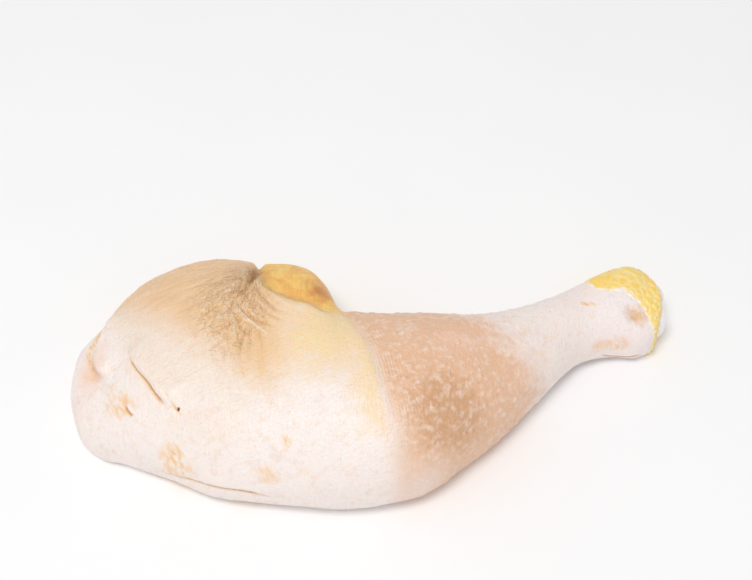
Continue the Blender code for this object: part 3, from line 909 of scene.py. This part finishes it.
# Painted shade: the brown at the lobe's end, and the brown in the notch and the fold grooves
LOBE_SHADE_BROWN, CREASE_SHADE_BROWN = light(196, 106, 22), light(164, 114, 62)
# Painted shade for the grooves of the wrinkles, and painted highlight for their ridges and the ripples'
# crests
WRINKLE_SHADE_OLIVE, WRINKLE_HIGHLIGHT = light(210, 161, 100), light(252, 230, 202)
# The cut brown is partly the cut edges' own colour, partly painted shade in the slits; the lip white is
# a painted highlight on their raised lips and also pale streaks on the near side
CUT_EDGE_AND_SLIT_SHADE_BROWN, LIP_HIGHLIGHT_AND_STREAK_WHITE = light(206, 150, 92), light(255, 248, 242)
# The dimple's brown is painted shade in the hock's dimple
PIT_BROWN, DIMPLE_SHADE_BROWN, HOCK_WHITE = light(110, 36, 20), light(226, 180, 124), light(250, 238, 236)
RIPPLE_LINES, RIPPLE_BREAKS, RIPPLE_BENDS = 1.15, 9.0, 4.0


def skin_finish(item):
    skin_wear = Finish("chicken skin", Metallic=0.0, Subsurface_Weight=0.15, Subsurface_Scale=0.0015)
    skin_wear.shader.inputs["Subsurface Radius"].default_value = (1.0, 0.5, 0.3)
    mask, blend, step, layers = skin_wear.mask, skin_wear.blend, skin_wear.step, skin_wear.layers
    uneven, bump = skin_wear.uneven, skin_wear.bump

    def fan_noise(across, out, detail):
        """Noise stretched along the fan of wrinkles, by its sizes in millimetres."""
        place = skin_wear.vector(mask("fan_across") * (1 / across), mask("fan_out") * (1 / out))
        return skin_wear.noise_at(place, detail) - 0.5

    large = uneven(13, 3.0)
    patchy = uneven(4.5, 4.0)
    fine = uneven(1.3, 3.0)
    grain = uneven((8, 1.0, 3), 3.0, math.radians(24))
    streak = uneven((0.9, 6, 6), 2.0)
    mottle = uneven((1.9, 2.3, 2.3), 1.0)
    smear = uneven((1.1, 3.6, 3), 3.0, math.radians(32))
    fan, sweep = fan_noise(1.2, 7, 3.0), fan_noise(1.6, 16, 3.0)
    crumpled = step(mask("crumpled") + 0.4 * patchy, 0.1, 0.8)
    folds = crumpled * step(abs(fan_noise(1.5, 3.2, 2.0)), 0.07, 0.0)
    # The thigh, from its white near side to the tan far side and the honey knee
    near, tan, honey, thigh = mask("near"), mask("tan"), mask("honey"), 1.0 - mask("drum")
    tone = layers(
        CREAM,
        (1.0, near + 0.6 * large, 0.1, 0.9, WHITE_SIDE),
        (0.5 * thigh, patchy + 0.6 * grain + 0.5 * mottle, 0.0, 0.3, SPECKLE),
        (0.6 * near, patchy + 0.5 * large + 0.4 * streak, 0.0, 0.3, LILAC),
        (1.0, tan + 0.3 * large + 0.35 * patchy + 0.3 * grain, 0.05, 0.95, TAN),
        (0.5, tan * (patchy + grain + 0.5), 0.35, 0.8, TAN_DEEP),
        (0.32 * tan, sweep, 0.03, 0.2, TAN_DEEP),
        (0.3 * tan, 0.0 - sweep, 0.0, 0.22, CREAM),
        (0.9, honey + 0.8 * patchy + 0.7 * streak, 0.1, 1.0, HONEY),
        (0.6, honey * (0.5 + large + patchy), 0.25, 0.6, BUTTER),
        (0.6 * near, streak + 0.6 * patchy, 0.04, 0.25, LIP_HIGHLIGHT_AND_STREAK_WHITE),
        (0.35 * thigh, grain + patchy, 0.05, 0.3, CREAM),
    )
    # The drumstick, with painted shade over the calf that noise breaks into mottling, and its soft pale
    # papules
    calf = layers(
        CALF_PINK,
        (1.0, mask("calf") + 0.6 * large + 0.6 * patchy, 0.05, 0.8, CALF_SHADE_TAN),
        (0.5, mask("calf") + 0.5 * large - mottle - fine, 0.3, 0.8, CALF_SHADE_DEEP),
    )
    calf = blend(0.75 * mask("pale"), calf, ANKLE)
    calf = layers(calf, (0.38, mottle + 0.5 * patchy, 0.0, 0.3, PAPULE))
    ankle = mask("ankle")
    tone = layers(
        blend(mask("drum"), tone, calf),
        (1.0, ankle + 0.8 * patchy + 0.6 * large + 0.3 * mottle, 0.1, 0.95, ANKLE),
        (0.35 * ankle, large - 0.6 * patchy, 0.0, 0.3, ANKLE_PINK),
        (0.55 * ankle, patchy + 0.7 * mottle + 0.4 * large, 0.1, 0.36, STAIN_AND_CUT_SHADE),
        (0.75, mask("hock") + 0.8 * patchy, 0.2, 0.9, HOCK_WHITE),
    )
    dots = step(skin_wear.cells(2.4), 0.6, 0.1) * step(patchy, -0.2, 0.15)
    tone = blend(0.4 * dots * mask("drum") * (1.0 - ankle), tone, PAPULE)
    tone = layers(tone, (0.45, mask("pore") + 0.2 * fine, 0.1, 1.0, PAPULE))
    # The lobe, with painted shade at its end, the wrinkles, with painted shade in their grooves and
    # painted highlight on their ridges, the stains and the rim of the bare flesh
    lobe = layers(
        LOBE_YELLOW,
        (1.0, large + patchy + 0.6 * streak + 0.5, 0.35, 0.8, LOBE_ORANGE),
        # Painted shade at the lobe's end
        (0.85, mask("hollow") + 0.5 * patchy, 0.1, 1.0, LOBE_SHADE_BROWN),
    )
    rim = layers(HONEY, (1.0, large + patchy, -0.2, 0.25, RIM_FAT))
    stained = mask("stain") * (0.85 + 3.0 * smear + patchy + 0.8 * fine)
    tone = layers(
        blend(0.9 * mask("lobe"), tone, lobe),
        # Painted shade in the wrinkles' grooves and painted highlight on their ridges, where the bumps
        # sink and rise
        (0.2 * crumpled, fan, 0.02, 0.22, WRINKLE_SHADE_OLIVE),
        (0.4 * crumpled, 0.0 - fan, 0.02, 0.22, WRINKLE_HIGHLIGHT),
        (0.25 * folds, patchy, -0.15, 0.15, WRINKLE_SHADE_OLIVE),
        (0.5 * (1.0 - mask("lobe")), mask("wrinkle"), 0.1, 0.8, WRINKLE_HIGHLIGHT),
        (0.4, 0.0 - mask("wrinkle"), 0.08, 0.8, WRINKLE_SHADE_OLIVE),
        (0.65, mask("blush") + 0.5 * patchy, 0.1, 0.8, BLUSH),
        (0.7, stained, 0.1, 0.8, STAIN_AND_CUT_SHADE),
        (0.6, stained, 0.6, 1.2, STAIN_DEEP),
        (0.75, mask("underside") + 0.8 * patchy, 0.15, 0.9, rim),
    )
    # Painted shade in the notch and the grooves of the folds
    tone = blend(0.7 * mask("groove"), tone, CREASE_SHADE_BROWN)
    # The ripples past the knee crease, with painted highlight and shade; the cuts, brown partly of their
    # own and partly as painted shade, with a painted highlight on their lips; and the small marks, with
    # painted shade in the hock's dimple
    waves = mask("crease") * (2 * math.pi / RIPPLE_LINES)
    waves = waves + RIPPLE_BREAKS * patchy + RIPPLE_BENDS * large
    waves = skin_wear.node("ShaderNodeMath", {"operation": "SINE"}, {0: waves}) * mask("beside")
    waves = waves * step(large + 0.7 * patchy, -0.15, 0.15)
    cut = mask("cut") + 0.5 * fine
    close_to_cut = step(mask("close_to_cut") + 0.4 * patchy, 0.2, 0.85)
    tone = layers(
        tone,
        # Painted highlight on the ripples' crests and painted shade in their troughs, following their
        # bump
        (0.32, waves, 0.1, 0.9, WRINKLE_HIGHLIGHT),
        (0.25, 0.0 - waves, 0.1, 0.9, CALF_SHADE_DEEP),
        # Painted highlight on the raised lip of each cut, painted shade beside it, and brown partly
        # painted shade
        (0.7 * step(cut, 2.0, 0.9) * close_to_cut, cut, 0.1, 0.4, LIP_HIGHLIGHT_AND_STREAK_WHITE),
        (0.5 * close_to_cut, abs(cut + 0.4), 1.2, 0.2, STAIN_AND_CUT_SHADE),
        (0.85 * close_to_cut, abs(cut), 0.75, 0.2, CUT_EDGE_AND_SLIT_SHADE_BROWN),
        # Painted shade in the hock's dimple
        (0.85, mask("dimple_shade") + 0.8 * patchy + 0.8 * mottle, 0.2, 1.2, DIMPLE_SHADE_BROWN),
        (1.0, mask("pit"), 0.3, 0.8, PIT_BROWN),
    )
    # Moist sheen and the finest relief, one bump on the other
    net = step(skin_wear.cells(1.5, "DISTANCE_TO_EDGE"), 0.0, 0.25)
    relief = None
    for height, depth in (
        (net, 0.07), (fine + streak + grain, 0.25), (waves + 1.2 * dots * mask("drum"), 0.05),
        (0.0 - crumpled * fan, 0.7), (0.0 - folds, 0.2),
    ):
        relief = bump(height, depth, relief)
    skin_wear.wear(item, Base_Color=tone, Roughness=0.42 + 0.25 * patchy + 0.1 * fine, Normal=relief)


skin_finish(skin)
print("skin nodes:", len(skin.data.materials[0].node_tree.nodes))

# %% [markdown]
# ## Scales of the hock
#
# The scales are the finest relief on the leg, and the rings of the skin are too far apart there to
# carry them. So the hock gets a second, denser skin from the same outlines. It begins just before
# the scales do, lies a little above the first skin where there are scales, and dives under it
# everywhere else.

# %% Build the scaly skin
SCALES_BEGIN = 0.8
SCALES_MESH = (300, 180)
SCALE_HEIGHT, SCALE_LIFT, SCALE_UNEVENNESS = 0.4, 0.1, 0.08
SCALE_SINK, DEEPER_SINK = 0.7, 1.5


def scaly_shape(points, normals):
    return leg_shape(points, normals, SCALES_BEGIN)


def scale_relief(points, normals):
    share = scaly_share(points)
    plates, edges = scales(points)
    relief_made["scale_edge"] = edges
    raised = SCALE_LIFT + SCALE_HEIGHT * plates + SCALE_UNEVENNESS * wobble(points, 3.5, 1.0)
    sunk = SCALE_SINK + DEEPER_SINK * (1 - ramp(past_scale_border(points), -8, -2))
    return pushed_out(points, normals, share * raised - sunk * (1 - share))


scaly_skin = shaped_object("hock_scales", SCALES_MESH, (scaly_shape, leg_forms, leg_folds, scale_relief))
scaly_points, _ = points_and_normals(scaly_skin)
faded = 1 - ramp(past_scale_border(scaly_points), 0, 5) * ramp(scaly_points[:, 0], 79, 85)
keep_masks(scaly_skin, {"scale_edge": relief_made["scale_edge"], "border": faded})
put_in_frame(scaly_skin)
print("hock scales:", 2 * SCALES_MESH[0] * (SCALES_MESH[1] - 1), "triangles")

# %% Finish of the scales
SCALE_YELLOW, SCALE_DEEP = light(255, 221, 124), light(255, 205, 90)
SCALE_PALE, SCALE_FADED = light(255, 231, 162), light(253, 234, 200)


def scale_finish(item):
    horny = Finish("hock scales", Metallic=0.0, Subsurface_Weight=0.15, Subsurface_Scale=0.001)
    mask, uneven = horny.mask, horny.uneven
    patchy, fine, mottle = uneven(5, 3.0), uneven(1.1, 3.0), uneven(2, 2.0)
    border = mask("border") + 1.8 * mottle + 0.6 * patchy
    tone = horny.layers(
        SCALE_YELLOW,
        (1.0, patchy + 0.5 * fine + 0.5, 0.3, 0.75, SCALE_DEEP),
        (0.5, fine + patchy, 0.05, 0.35, SCALE_PALE),
    )
    tone = horny.layers(
        horny.blend(0.9 * mask("scale_edge"), tone, SCALE_PALE),
        (0.45, mottle, 0.08, 0.25, SCALE_PALE),
        (0.8, border, 0.2, 0.75, SCALE_FADED),
        (1.0, border, 0.6, 1.1, HOCK_WHITE),
    )
    horny.wear(item, Base_Color=tone, Roughness=0.38 + 0.2 * patchy, Normal=horny.bump(fine, 0.12))


scale_finish(scaly_skin)

# %% [markdown]
# ## The flesh of the thigh
#
# Underneath, the muscles lie bare in bundles that run from the knee to the hip, with cords of
# creamy fat between them. The flesh is a second lofted sphere inside the first, a little wider
# than the window, so that its edge is tucked under the rim and no gap shows.

# %% Flesh with its bundles
FLESH_MESH = (300, 190)
TUCKED_RIM = 6.0
FLESH_WIDEST_HEIGHT, FLESH_DEPTH, FLESH_UNDERSIDE = 7.0, 0.6, 0.8
FLESH_FULLNESS = 5.0
MUSCLE_SEAMS = (
    ((-18, -9), (-27, -6), (-38, -1), (-49, 5), (-59, 13), (-70, 18)),
    ((-26, -27), (-30, -21), (-36, -16), (-43, -11), (-48, -2)),
    ((-41, -13), (-53, -13), (-63, -11), (-74, -12), (-86, -10)),
    ((-20, 33), (-30, 36), (-42, 31), (-56, 33), (-70, 37)),
    ((-50, 21), (-60, 26), (-68, 24)),
)
SEAM_DEPTH, SEAM_WIDTH = 2.2, 2.6
BALL_CENTRE, BALL_RADIUS = (-76.0, 22.0, 7.4), 6.6
BALL_RECESS_RADIUS, BALL_RECESS_DEPTH = 10.5, 3.4


def flesh_shape(points, _normals):
    """A flat loft that fills the window, with its edge tucked under the rim of the skin."""
    xs = np.linspace(FLESH_X[0], FLESH_X[1], 9)
    shares = (xs - FLESH_X[0]) / (FLESH_X[1] - FLESH_X[0])
    pinch = WINDOW_PINCH * np.abs(2 * shares - 1) ** 4
    near = list(zip(xs, read(NEAR_EDGE, xs) + TUCKED_RIM + pinch))
    far = list(zip(xs, read(FAR_EDGE, xs) - TUCKED_RIM - pinch))
    widest = list(zip(xs, np.full_like(xs, FLESH_WIDEST_HEIGHT)))
    top = list(zip(xs, FLESH_WIDEST_HEIGHT + FLESH_DEPTH * (read(CREST, xs) - FLESH_WIDEST_HEIGHT)))
    belly = list(zip(xs, np.full_like(xs, FLESH_UNDERSIDE)))
    fullness = (TOP_FULLNESS, FLESH_FULLNESS)
    ends = (WINDOW_ROUNDING, WINDOW_ROUNDING)
    return loft(points, FLESH_X, ends, (near, far), (top, belly, widest), fullness, end_share=0.22)


def seam_share(points, normals):
    """1 in the seams between the bundles of muscle."""
    share = np.zeros(len(points))
    for seam in MUSCLE_SEAMS:
        line = [(x, y, FLESH_UNDERSIDE) for x, y in seam]
        distance, _along = from_line(points, normals, line)
        distance = distance + 0.8 * wobble(points, 8.0, 3.0)
        share = np.maximum(share, bell(distance, SEAM_WIDTH))
    return share


def muscles(points, normals):
    """Sinks the seams, the fibres and the recess round the ball into the underside of the flesh."""
    bare = ramp(-normals[:, 2], 0.2, 0.8)
    away = np.hypot(points[:, 0] - BALL_CENTRE[0], points[:, 1] - BALL_CENTRE[1])
    deep = SEAM_DEPTH * seam_share(points, normals)
    deep = np.maximum(deep, BALL_RECESS_DEPTH * (1 - ramp(away, BALL_RADIUS - 1, BALL_RECESS_RADIUS)))
    fibre = np.stack([points[:, 0] / 16, points[:, 1] / 1.3, points[:, 2] / 8], axis=1)
    deep += 0.35 + 0.35 * wobble(points, 6.0, 6.0) + 0.22 * wobble(fibre, 1.0, 7.0)
    moved = points.copy()
    moved[:, 2] += deep * bare
    return moved


flesh = shaped_object("thigh_flesh", FLESH_MESH, (flesh_shape, muscles))
flesh_points, flesh_normals = points_and_normals(flesh)
FLESH_PATCHES = {
    "film": (((-38, 16), (15, 5), 1.0), ((-60, -22), (14, 4), 0.8)),
    "olive": (((-42, -5), (14, 6), 1.0), ((-62, 2), (10, 6), 0.8)),
    "violet": (((-27, 6), (9, 8), 1.0),),
    "dark": (((-50, 42), (18, 7), 1.0),),
}
flesh_masks = {"seam": seam_share(flesh_points, flesh_normals)}
for name, patches in FLESH_PATCHES.items():
    flesh_masks[name] = np.max([part * hill(flesh_points, *where) for *where, part in patches], axis=0)
flesh_masks["dark"] = np.maximum(flesh_masks["dark"], ramp(-flesh_points[:, 0], 64, 86))
keep_masks(flesh, flesh_masks)
put_in_frame(flesh)
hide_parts("thigh_meat")
print("flesh:", 2 * FLESH_MESH[0] * (FLESH_MESH[1] - 1), "triangles")

# %% Finish of the flesh
MUSCLE_PINK, MUSCLE_RED, MUSCLE_DARK = light(212, 122, 104), light(178, 78, 70), light(140, 58, 52)
SILVER_FILM, SEAM_FAT, MUSCLE_BROWN = light(226, 186, 164), light(222, 158, 122), light(192, 144, 100)
MUSCLE_VIOLET, BLOOD_RED = light(150, 82, 84), light(186, 52, 46)


def flesh_finish(item):
    raw = Finish("bare muscle", Metallic=0.0, Subsurface_Weight=0.2, Subsurface_Scale=0.003)
    mask, uneven = raw.mask, raw.uneven
    patchy, fine = uneven((9, 7, 7), 3.0), uneven((2.2, 1.6, 2), 3.0)
    fibre = uneven((14, 0.9, 3), 3.0, math.radians(-4))
    tone = raw.layers(
        MUSCLE_PINK,
        (1.0, patchy + 0.8 * fibre + 0.5, 0.3, 0.75, MUSCLE_RED),
        (0.35, raw.noise((22, 9, 9), 2.0), 0.5, 0.65, MUSCLE_BROWN),
        (0.8, mask("olive") + 0.8 * patchy + 0.3 * fibre, 0.25, 0.8, MUSCLE_BROWN),
        (0.7, mask("violet") + 0.8 * patchy + 0.3 * fibre, 0.25, 0.9, MUSCLE_VIOLET),
        (0.7, mask("dark") + patchy, 0.2, 0.9, MUSCLE_DARK),
        (0.75, mask("film") + 0.9 * patchy + 0.5 * fibre + 0.8 * fine, 0.2, 0.9, SILVER_FILM),
        (0.45, mask("seam") + 1.4 * patchy + fibre + fine, 0.6, 1.3, SEAM_FAT),
        (0.6 * raw.step(mask("seam") + patchy, 0.3, 0.7), patchy - 0.6 * fibre, 0.12, 0.3, BLOOD_RED),
    )
    raw.wear(item, Base_Color=tone, Roughness=0.3 + 0.25 * patchy, Normal=raw.bump(fibre, 0.3))


flesh_finish(flesh)

# %% [markdown]
# ## Fat between the muscles
#
# Cords of fat fill the seams, and a soft pad of it lies against the rim behind the knee. A cord is
# a sphere again: its poles go to the ends of a path, its rings swell and shrink a little on the
# way, and it is pressed flat where it would pass the ground.

# %% Cords and a pad of fat
FAT_MESH, FAT_GROUND, FAT_HEIGHT, FAT_UNEVENNESS = (40, 120), 0.35, 3.2, 0.35
POLE_RADIUS = 0.001
UPWARD = np.array([0, 0, 1.0])
# Each row has a name, a path as it is seen from above, a width and a thickness
FAT_CORDS = (
    ("fat_cord_1", MUSCLE_SEAMS[0], 2.8, 2.6),
    ("fat_cord_2", MUSCLE_SEAMS[1], 2.4, 2.6),
    ("fat_cord_3", MUSCLE_SEAMS[2], 1.9, 2.4),
    ("fat_cord_4", MUSCLE_SEAMS[3], 2.6, 2.4),
    ("fat_cord_5", MUSCLE_SEAMS[4], 1.7, 2.4),
    ("fat_pad", ((-23, -9), (-24, 4), (-25, 17), (-23, 29)), 6.0, 3.4),
    ("fat_patch", ((-57, -8), (-64, -6.5), (-72, -9)), 4.6, 2.6),
    ("fat_hip", ((-92, 22), (-90, 10), (-88, -2)), 3.2, 2.8),
)
FAT_CREAM, FAT_YELLOW = light(250, 222, 172), light(240, 190, 116)


def strand(path, width, thickness):
    """A stage that lays a sphere's points along a path, as a soft lumpy cord."""
    line = curve_through([(x, y, FAT_HEIGHT) for x, y in path], 10)
    lumpiness = min(0.6, 1.5 / width)

    def lay(points, _normals):
        share = from_pole(points) * (len(line) - 1)
        i = np.minimum(share.astype(int), len(line) - 2)
        ahead = line[i + 1] - line[i]
        spot = line[i] + ahead * (share - i)[:, None]
        ahead /= np.linalg.norm(ahead, axis=1)[:, None]
        beside = np.stack([-ahead[:, 1], ahead[:, 0], 0 * ahead[:, 0]], axis=1)
        lumps = 1 + lumpiness * (wobble(spot, 6.0, 2.0) + 0.4 * wobble(spot, 2.6, 5.0))
        spot = spot + beside * wobble(spot, 9.0, 7.0)[:, None]
        blunt = 1 / np.sqrt(np.maximum(np.hypot(points[:, 0], points[:, 1]), POLE_RADIUS))
        out = beside * (points[:, 0] * width * lumps * blunt)[:, None]
        laid = spot + out + UPWARD * (points[:, 1] * thickness * blunt)[:, None]
        laid += FAT_UNEVENNESS * wobble(laid, 2.6, 1.0)[:, None] * UPWARD
        laid[:, 2] = np.maximum(laid[:, 2], FAT_GROUND)
        return laid

    return lay


def fat_finish(items):
    """One finish that all the pieces of fat share."""
    fat = Finish("soft fat", Metallic=0.0, Subsurface_Weight=0.25, Subsurface_Scale=0.003)
    patchy = fat.noise(5, 3.0)
    tone = fat.blend(fat.step(patchy, 0.35, 0.7), FAT_CREAM, FAT_YELLOW)
    relief = fat.bump(fat.noise(1.2, 2.0), 0.15)
    for item in items:
        fat.wear(item, Base_Color=tone, Roughness=0.25 + 0.2 * patchy, Normal=relief)


fat_pieces = []
for name, path, width, thickness in FAT_CORDS:
    piece = shaped_object(name, FAT_MESH, (strand(path, width, thickness),))
    put_in_frame(piece)
    fat_pieces.append(piece)
fat_finish(fat_pieces)
print("pieces of fat:", len(fat_pieces))

# %% [markdown]
# ## Ball and gristle
#
# The thigh bone ends in a smooth white ball, with a pink pit where its ligament was cut, and a
# torn collar of gristle round its neck. At the other end the hock was cut through its joint, and
# two rounded heads of gristle stand out of the skin.

# %% Ball of the thigh bone
BALL_MESH = (96, 64)
PIT_DIRECTION = np.array(Vector((-0.45, -0.3, -0.84)).normalized())
PIT_DEPTH, PIT_WIDTH = 0.7, 0.3
GRISTLE_WHITE, GRISTLE_PINK = light(250, 243, 243), light(232, 172, 166)
COLLAR_RADIUS, COLLAR_THICKNESS, COLLAR_HEIGHT = 8.0, 1.6, 3.7
COLLAR_SIDES, COLLAR_STEPS, COLLAR_MERGE = 16, 72, 0.001
TORN_WIDTH, TORN_HEIGHT = 1.2, 0.9


def ball_shape(points, _normals):
    """A ball with a shallow pit."""
    pit = bell(np.arccos(np.clip(points @ PIT_DIRECTION, -1, 1)), PIT_WIDTH)
    return points * (BALL_RADIUS - PIT_DEPTH * pit)[:, None] + np.array(BALL_CENTRE)


def collar(name):
    """A ring of torn gristle, spun from a small circle and then roughened."""
    mesh = bmesh.new()
    bmesh.ops.create_circle(mesh, segments=COLLAR_SIDES, radius=COLLAR_THICKNESS)
    bmesh.ops.rotate(mesh, verts=mesh.verts, cent=(0, 0, 0), matrix=Matrix.Rotation(math.pi / 2, 3, "X"))
    bmesh.ops.translate(mesh, verts=mesh.verts, vec=(COLLAR_RADIUS, 0, 0))
    bmesh.ops.spin(mesh, geom=mesh.edges[:], cent=(0, 0, 0), axis=(0, 0, 1), angle=2 * math.pi,
                   steps=COLLAR_STEPS, use_merge=True)
    bmesh.ops.remove_doubles(mesh, verts=mesh.verts, dist=COLLAR_MERGE)
    bmesh.ops.recalc_face_normals(mesh, faces=mesh.faces)
    for vert in mesh.verts:
        torn = noise.noise(vert.co / 2.6)
        vert.co += Vector((vert.co.x, vert.co.y, 0)).normalized() * torn * TORN_WIDTH
        vert.co.z += TORN_HEIGHT * noise.noise(vert.co / 3.1 + Vector((4, 0, 0)))
        vert.co += Vector((BALL_CENTRE[0], BALL_CENTRE[1], COLLAR_HEIGHT))
    return smooth_object(name, mesh)


def gristle_finish(item, name, pink):
    """Wet, nearly white gristle, with pink where its blush mask and noise bring it through."""
    wet = Finish(name, Metallic=0.0, Subsurface_Weight=0.3, Subsurface_Scale=0.003)
    patchy = wet.noise(4, 3.0)
    blush = (1.0, patchy + wet.mask("blush"), 0.9 - pink, 1.4 - pink, GRISTLE_PINK)
    wet.wear(item, Base_Color=wet.layers(GRISTLE_WHITE, blush), Roughness=0.2 + 0.2 * patchy)


ball = shaped_object("femur_ball", BALL_MESH, (ball_shape,))
ball_points, _ = points_and_normals(ball)
from_centre = ball_points - np.array(BALL_CENTRE)
toward_pit = from_centre @ PIT_DIRECTION / np.linalg.norm(from_centre, axis=1)
keep_masks(ball, {"blush": 0.8 * ramp(toward_pit, 0.82, 1.0) + 0.5 * ramp(ball_points[:, 2], 5, 8)})
put_in_frame(ball)
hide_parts("femur_head")
gristle_finish(ball, "ball gristle", 0.3)

ball_collar = collar("femur_collar")
put_in_frame(ball_collar)
torn = Finish("torn gristle", Metallic=0.0, Subsurface_Weight=0.3, Subsurface_Scale=0.003)
torn_tone = torn.blend(torn.step(torn.noise(3, 3.0), 0.4, 0.6), FAT_CREAM, MUSCLE_PINK)
torn.wear(ball_collar, Base_Color=torn_tone)

# %% Gristle of the hock
GRISTLE_MESH = (120, 80)
GRISTLE_CENTRE, GRISTLE_RADII = (101.5, 38.0, 11.5), (10.4, 11.5, 8.0)
GRISTLE_WAIST, GRISTLE_WAIST_WIDTH, GRISTLE_SQUARENESS = 0.16, 3.0, 3.0
BLUSH_WIDTH = 3.5


def gristle_shape(points, _normals):
    """Two rounded heads side by side with a waist between them, like a pulley."""
    power = GRISTLE_SQUARENESS
    squareness = np.sum(np.abs(points) ** power, axis=1) ** (1 / power)
    scaled = points / squareness[:, None] * np.array(GRISTLE_RADII)
    waist = 1 - GRISTLE_WAIST * bell(scaled[:, 1], GRISTLE_WAIST_WIDTH)
    scaled[:, 0] *= waist
    scaled[:, 2] *= waist
    return scaled + np.array(GRISTLE_CENTRE)


hock_gristle = shaped_object("hock_knuckle", GRISTLE_MESH, (gristle_shape,))
knuckle_points, _ = points_and_normals(hock_gristle)
keep_masks(hock_gristle, {"blush": 0.35 * bell(knuckle_points[:, 1] - GRISTLE_CENTRE[1], BLUSH_WIDTH)})
put_in_frame(hock_gristle)
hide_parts("hock_gristle")
gristle_finish(hock_gristle, "hock gristle", 0.25)

# %% [markdown]
# ## Floor, light and camera
#
# The leg lies on a plain pale floor in soft, bright light. A broad lamp on the viewer's side gives
# the gentle shading from the near side, which is almost white, to the tan far side. The camera
# looks down at about fifty degrees through a long lens.

# %% Floor and lights
FLOOR_SIZE = 6.0
LAMP_PLACE, LAMP_AIM, LAMP_SIZE, LAMP_POWER = Vector((-0.2, -0.4, 1.2)), Vector((0, 0, 0.02)), 0.5, 7.0
SKY_STRENGTH = 0.6


def make_floor():
    mesh = bmesh.new()
    bmesh.ops.create_grid(mesh, x_segments=1, y_segments=1, size=FLOOR_SIZE / 2)
    floor = smooth_object("floor", mesh)
    paper = Finish("pale floor", Roughness=0.9, Specular_IOR_Level=0.1)
    shade = paper.blend(paper.noise(60, 2.0), light(253, 253, 253), light(250, 250, 251))
    paper.wear(floor, Base_Color=shade)


def make_lamp():
    lamp = bpy.data.lights.new("key", "AREA")
    lamp.shape = "DISK"
    lamp.size = LAMP_SIZE
    lamp.energy = LAMP_POWER
    item = linked("key", lamp)
    item.location = LAMP_PLACE
    item.rotation_mode = "QUATERNION"
    item.rotation_quaternion = (LAMP_AIM - LAMP_PLACE).to_track_quat("-Z", "Y")


make_floor()
make_lamp()
sky = bpy.data.worlds.new("studio")
sky.use_nodes = True
background = sky.node_tree.nodes["Background"].inputs
background["Color"].default_value = (1.0, 1.0, 1.0, 1.0)
background["Strength"].default_value = SKY_STRENGTH
bpy.context.scene.world = sky
bpy.context.scene.view_settings.view_transform = "Standard"

# %% Camera
PHOTO_WIDTH, PHOTO_HEIGHT = 752, 580
LENS, SENSOR = 65.0, 36.0
PITCH = math.radians(51)
AIM_POINT, AIM_PIXEL, PIXELS_PER_MM = Vector((0, 0, 15)), (368, 388), 2.80


def make_camera():
    """Stands the camera so that the aim point falls on its pixel at the photograph's scale."""
    forward = Vector((0, math.cos(PITCH), -math.sin(PITCH)))
    upward = Vector((0, math.sin(PITCH), math.cos(PITCH)))
    focal = LENS / SENSOR * PHOTO_WIDTH
    right_share = (AIM_PIXEL[0] - PHOTO_WIDTH / 2) / focal
    down_share = (AIM_PIXEL[1] - PHOTO_HEIGHT / 2) / focal
    towards_aim = forward + Vector((right_share, 0, 0)) - upward * down_share
    eye = AIM_POINT - towards_aim * (focal / PIXELS_PER_MM)
    camera = bpy.data.cameras.new("camera")
    camera.lens = LENS
    camera.sensor_width = SENSOR
    item = linked("camera", camera)
    item.location = eye * MM + SHIFT
    item.rotation_euler = (math.pi / 2 - PITCH, 0, 0)
    bpy.context.scene.camera = item


make_camera()
